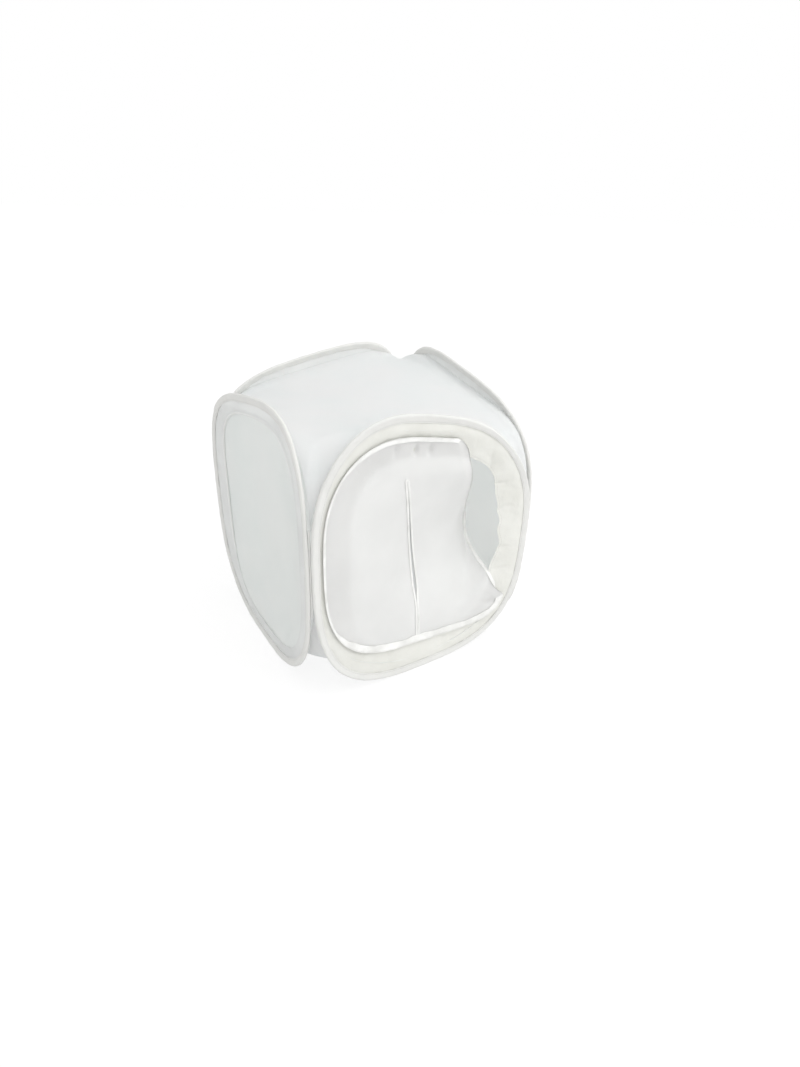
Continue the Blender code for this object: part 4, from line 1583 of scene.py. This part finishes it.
    def build(self, cover: Material, hem: Material, loop: Material, hook: Material) -> None:
        """Make and dress the cover, its hem, its binding and both tapes.

        Args:
            cover: The cover's material.
            hem: The material of the hem and the binding.
            loop: The loop tape's material.
            hook: The hook tape's material.
        """
        cloth = self.cloth().build()
        dress(cloth, cover, "cover", "front_cover")
        strip = self.hem().build()
        dress(strip, hem, "cover", "front_cover_hem")
        band = self.binding().build()
        dress(band, hem, "cover", "slit_binding")
        hooks = self.tape("cover_hook_band", self.hook_depth).build()
        dress(hooks, hook, "cover", "cover_hook_tape")
        loops = self.tape("border_loop_band", self.loop_depth).build()
        dress(loops, loop, "front_frame", "border_loop_tape")


@dataclass
class BackdropTape:
    """The loop tape inside the back wall, below its top."""

    shape: TentShape
    width: float = 0.025
    length: float = 0.320
    drop: float = 0.150
    thickness: float = 0.0008
    panel_gap: float = 0.0002

    def build(self, material: Material) -> None:
        """Make and dress the tape.

        Args:
            material: The tape's material.
        """
        shape = self.shape
        top = shape.half_height - self.drop
        stops = np.linspace(-self.length / 2, self.length / 2, 40)
        across, up = np.meshgrid(stops, np.linspace(top - self.width, top, 5))
        wall = WallPanel(shape, Side.BACK)
        inset = shape.flange_width + shape.side_border_width - wall.hidden_lap
        grow = shape.half / (shape.half - inset)
        total = shape.ring_share(across * grow[0], up * grow[1])
        depth = wall.depth(np.stack([across, up], -1), total) - wall.thickness - self.panel_gap
        depth = depth - self.thickness
        band = shape.wall_sheet("backdrop_loop_band", Side.BACK, (across, up), depth, self.thickness)
        thing = band.build()
        dress(thing, material, "back_wall", "backdrop_loop_tape")


@dataclass
class CornerSeam:
    """One sewn roll of cloth that joins two hoops along a fold axis."""

    shape: TentShape
    name: str
    across: float
    along: float
    body: str
    diameter: float = 0.0034
    length: float = 0.200
    turns: float = 1.45
    cloth: float = 0.00035
    winding: float = 0.00045
    twist: float = 0.35
    twist_rate: float = 60.0
    strip_width: float = 0.0125
    steps: int = 30
    levels: int = 60

    def build(self, material: Material) -> None:
        """Make and dress the roll, a strip wound on itself.

        Args:
            material: The roll's material.
        """
        shape = self.shape
        share = np.linspace(0.0, 1.0, self.steps)[:, None]
        angle = 2 * math.pi * self.turns * share
        level = np.linspace(-self.length / 2, self.length / 2, self.levels)[None, :]
        twist = self.twist * np.sin(level * self.twist_rate)
        faces = []
        for offset in (self.cloth, 0.0):
            radius = self.diameter / 2 - self.cloth - self.winding * share + offset
            x_place = self.across * shape.pivot_distance + np.cos(angle + twist) * radius
            y_place = self.along * shape.pivot_distance + np.sin(angle + twist) * radius
            points = np.broadcast_arrays(x_place, y_place, shape.half_height + level)
            faces.append(shape.settle(np.stack(points, -1)))
        metres = np.stack(np.broadcast_arrays(level, angle * self.diameter / 2), -1)
        thing = ClothSheet(self.name + "_roll", *faces, metres).build()
        dress(thing, material, self.body, self.name)


@dataclass
class HoopSteel:
    """The bare metal of all four hoops: the wires and their ferrules, as the frame holds them."""

    wire: Material
    ferrule: Material

    def build(self) -> None:
        """Put the metals on the frame's own nodes."""
        for side in Side:
            for ending, material in (("_hoop", self.wire), ("_hoop_ferrule", self.ferrule)):
                mesh = frame["nodes"][side.label + ending].data
                mesh.materials.clear()
                mesh.materials.append(material)
                log.info("%s keeps its own mesh", side.label + ending)


@dataclass(frozen=True)
class StudioPaper(Finish):
    """Plain matt paper that shows white to the camera and still takes a shadow."""

    glow: float = 1.05
    glow_share: float = 0.80

    def surface(self, tree: NodeTree) -> Node:
        """Return matt paper under an even glow where it is seen.

        Args:
            tree: The node tree.

        Returns:
            The node whose first output is the surface.
        """
        share = add_node(tree, "Math", {0: seen_mask(tree), 1: self.glow_share}, operation="MULTIPLY")
        paper = add_node(tree, "BsdfDiffuse", {"Color": linear_colour(self.tone)})
        glow = add_node(tree, "Emission", {"Color": linear_colour("FFFFFF"), "Strength": self.glow})
        return add_node(tree, "MixShader", {0: share, 1: paper, 2: glow})


def seen_mask(tree: NodeTree) -> Node:
    """Return one for rays that show the surroundings: to the camera, in gloss or through glass.

    Args:
        tree: The node tree.

    Returns:
        The node whose first output is the mask.
    """
    path = add_node(tree, "LightPath").outputs
    first = add_node(tree, "Math", {0: path["Is Camera Ray"], 1: path["Is Glossy Ray"]}, operation="MAXIMUM")
    return add_node(tree, "Math", {0: first, 1: path["Is Transmission Ray"]}, operation="MAXIMUM")


@dataclass
class Studio:
    """The pale floor, the soft lamp, the white surroundings and the camera."""

    turn_degrees: float = -33.366
    tilt_degrees: float = 28.683
    roll_degrees: float = 2.151
    distance: float = 1.6031
    aside: float = 0.0896
    lower: float = -0.06275
    aim_height: float = 0.300
    focal_pixels: float = 615.03
    image_height_pixels: float = 1067.0
    sensor_mm: float = 36.0
    clip_end: float = 100.0
    floor_side: float = 80.0
    floor_gap: float = 0.0006
    ambient: float = 0.96
    key_watts: float = 47.0
    key_side: float = 2.4
    key_place: tuple[float, float, float] = (1.3, -2.0, 2.9)

    def build(self) -> None:
        """Build everything round the tent."""
        self.build_floor()
        self.build_world()
        self.build_lamp()
        self.build_camera()

    def build_floor(self) -> None:
        """Lay a plain pale floor that shows white to the camera and still takes a shadow."""
        mesh = bpy.data.meshes.new("studio_floor")
        half = self.floor_side / 2
        turns = ((-half, -half), (half, -half), (half, half), (-half, half))
        mesh.from_pydata([(*turn, -self.floor_gap) for turn in turns], [], [(0, 1, 2, 3)])
        mesh.materials.append(StudioPaper("studio_paper", "F4F4F4").material())
        add_object("studio_floor", mesh)

    def build_world(self) -> None:
        """Surround the tent with even light, white where it is seen."""
        world = bpy.data.worlds.new("studio_surroundings")
        bpy.context.scene.world = world
        world.use_nodes = True
        tree = world.node_tree
        tree.nodes.clear()
        ends = {"Value": seen_mask(tree), "To Min": self.ambient, "To Max": 1.0}
        strength = add_node(tree, "MapRange", ends)
        light = add_node(tree, "Background", {"Color": linear_colour("FFFFFF"), "Strength": strength})
        add_node(tree, "OutputWorld", {"Surface": light})

    def build_lamp(self) -> None:
        """Add a large square lamp that faces the tent."""
        lamp = bpy.data.lights.new("key_lamp", "AREA")
        lamp.shape = "SQUARE"
        lamp.size = self.key_side
        lamp.energy = self.key_watts
        place = np.array(self.key_place)
        away = place - np.array((0.0, 0.0, self.aim_height))
        away /= np.linalg.norm(away)
        right = np.cross((0.0, 0.0, 1.0), away)
        right /= np.linalg.norm(right)
        add_object("key_lamp", lamp).matrix_world = self.placed(right, np.cross(away, right), away, place)

    @staticmethod
    def placed(*columns: Array) -> Matrix:
        """Return the matrix of a thing from its right, its up, its back and its place."""
        return Matrix(np.stack(columns, -1).tolist() + [[0.0, 0.0, 0.0, 1.0]])

    def build_camera(self) -> None:
        """Put the camera at the photograph's viewing angle."""
        angles = (self.turn_degrees, self.tilt_degrees, self.roll_degrees)
        turn, tilt, roll = (math.radians(value) for value in angles)
        back = np.array([math.sin(turn) * math.cos(tilt), -math.cos(turn) * math.cos(tilt), math.sin(tilt)])
        level = np.cross(-back, (0.0, 0.0, 1.0))
        level /= np.linalg.norm(level)
        upright = np.cross(level, -back)
        right = level * math.cos(roll) + upright * math.sin(roll)
        up = upright * math.cos(roll) - level * math.sin(roll)
        aim = np.array([0.0, 0.0, self.aim_height])
        place = aim + back * self.distance + right * self.aside + up * self.lower
        lens = bpy.data.cameras.new("photo_camera")
        lens.sensor_width = self.sensor_mm
        lens.sensor_fit = "AUTO"
        lens.lens = self.sensor_mm * self.focal_pixels / self.image_height_pixels
        lens.clip_end = self.clip_end
        camera = add_object("photo_camera", lens)
        camera.matrix_world = self.placed(right, up, back, place)
        bpy.context.scene.camera = camera


def main() -> None:
    """Build the tent's cloths in order, then the studio round them."""
    logging.basicConfig(level=logging.INFO, format="%(name)s: %(message)s")
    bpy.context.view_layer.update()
    shape = read_shape()
    bpy.context.scene.view_settings.view_transform = "Standard"
    casing = SHADED_CASING_POLYESTER.material()
    border = BORDER_POLYESTER.material()
    HoopSteel(SPRING_STEEL.material(), CRIMPED_ALUMINIUM.material()).build()
    side_border = SIDE_POLYESTER.material()
    for side in Side:
        HoopCasing(shape, side).build(casing, border if side is Side.FRONT else side_border)
    wall = WALL_NYLON.material()
    for side in (Side.LEFT, Side.RIGHT, Side.BACK):
        WallPanel(shape, side).build(wall)
    top = TOP_NYLON.material()
    SoftEnd(shape, 1.0).build(top)
    SoftEnd(shape, -1.0, seed=52, sag=0.047, corner_power=1.9).build(top)
    loop = LOOP_NYLON.material()
    FrontCover(shape).build(COVER_NYLON.material(), HEM_NYLON.material(), loop, HOOK_NYLON.material())
    BackdropTape(shape).build(loop)
    for name, across, along, body in (
        ("front_left_seam", -1.0, -1.0, "front_frame"),
        ("front_right_seam", 1.0, -1.0, "front_frame"),
        ("back_left_seam", -1.0, 1.0, "left_wall"),
        ("back_right_seam", 1.0, 1.0, "back_wall"),
    ):
        CornerSeam(shape, name, across, along, body).build(casing)
    Studio().build()


if __name__ == "__main__":
    main()
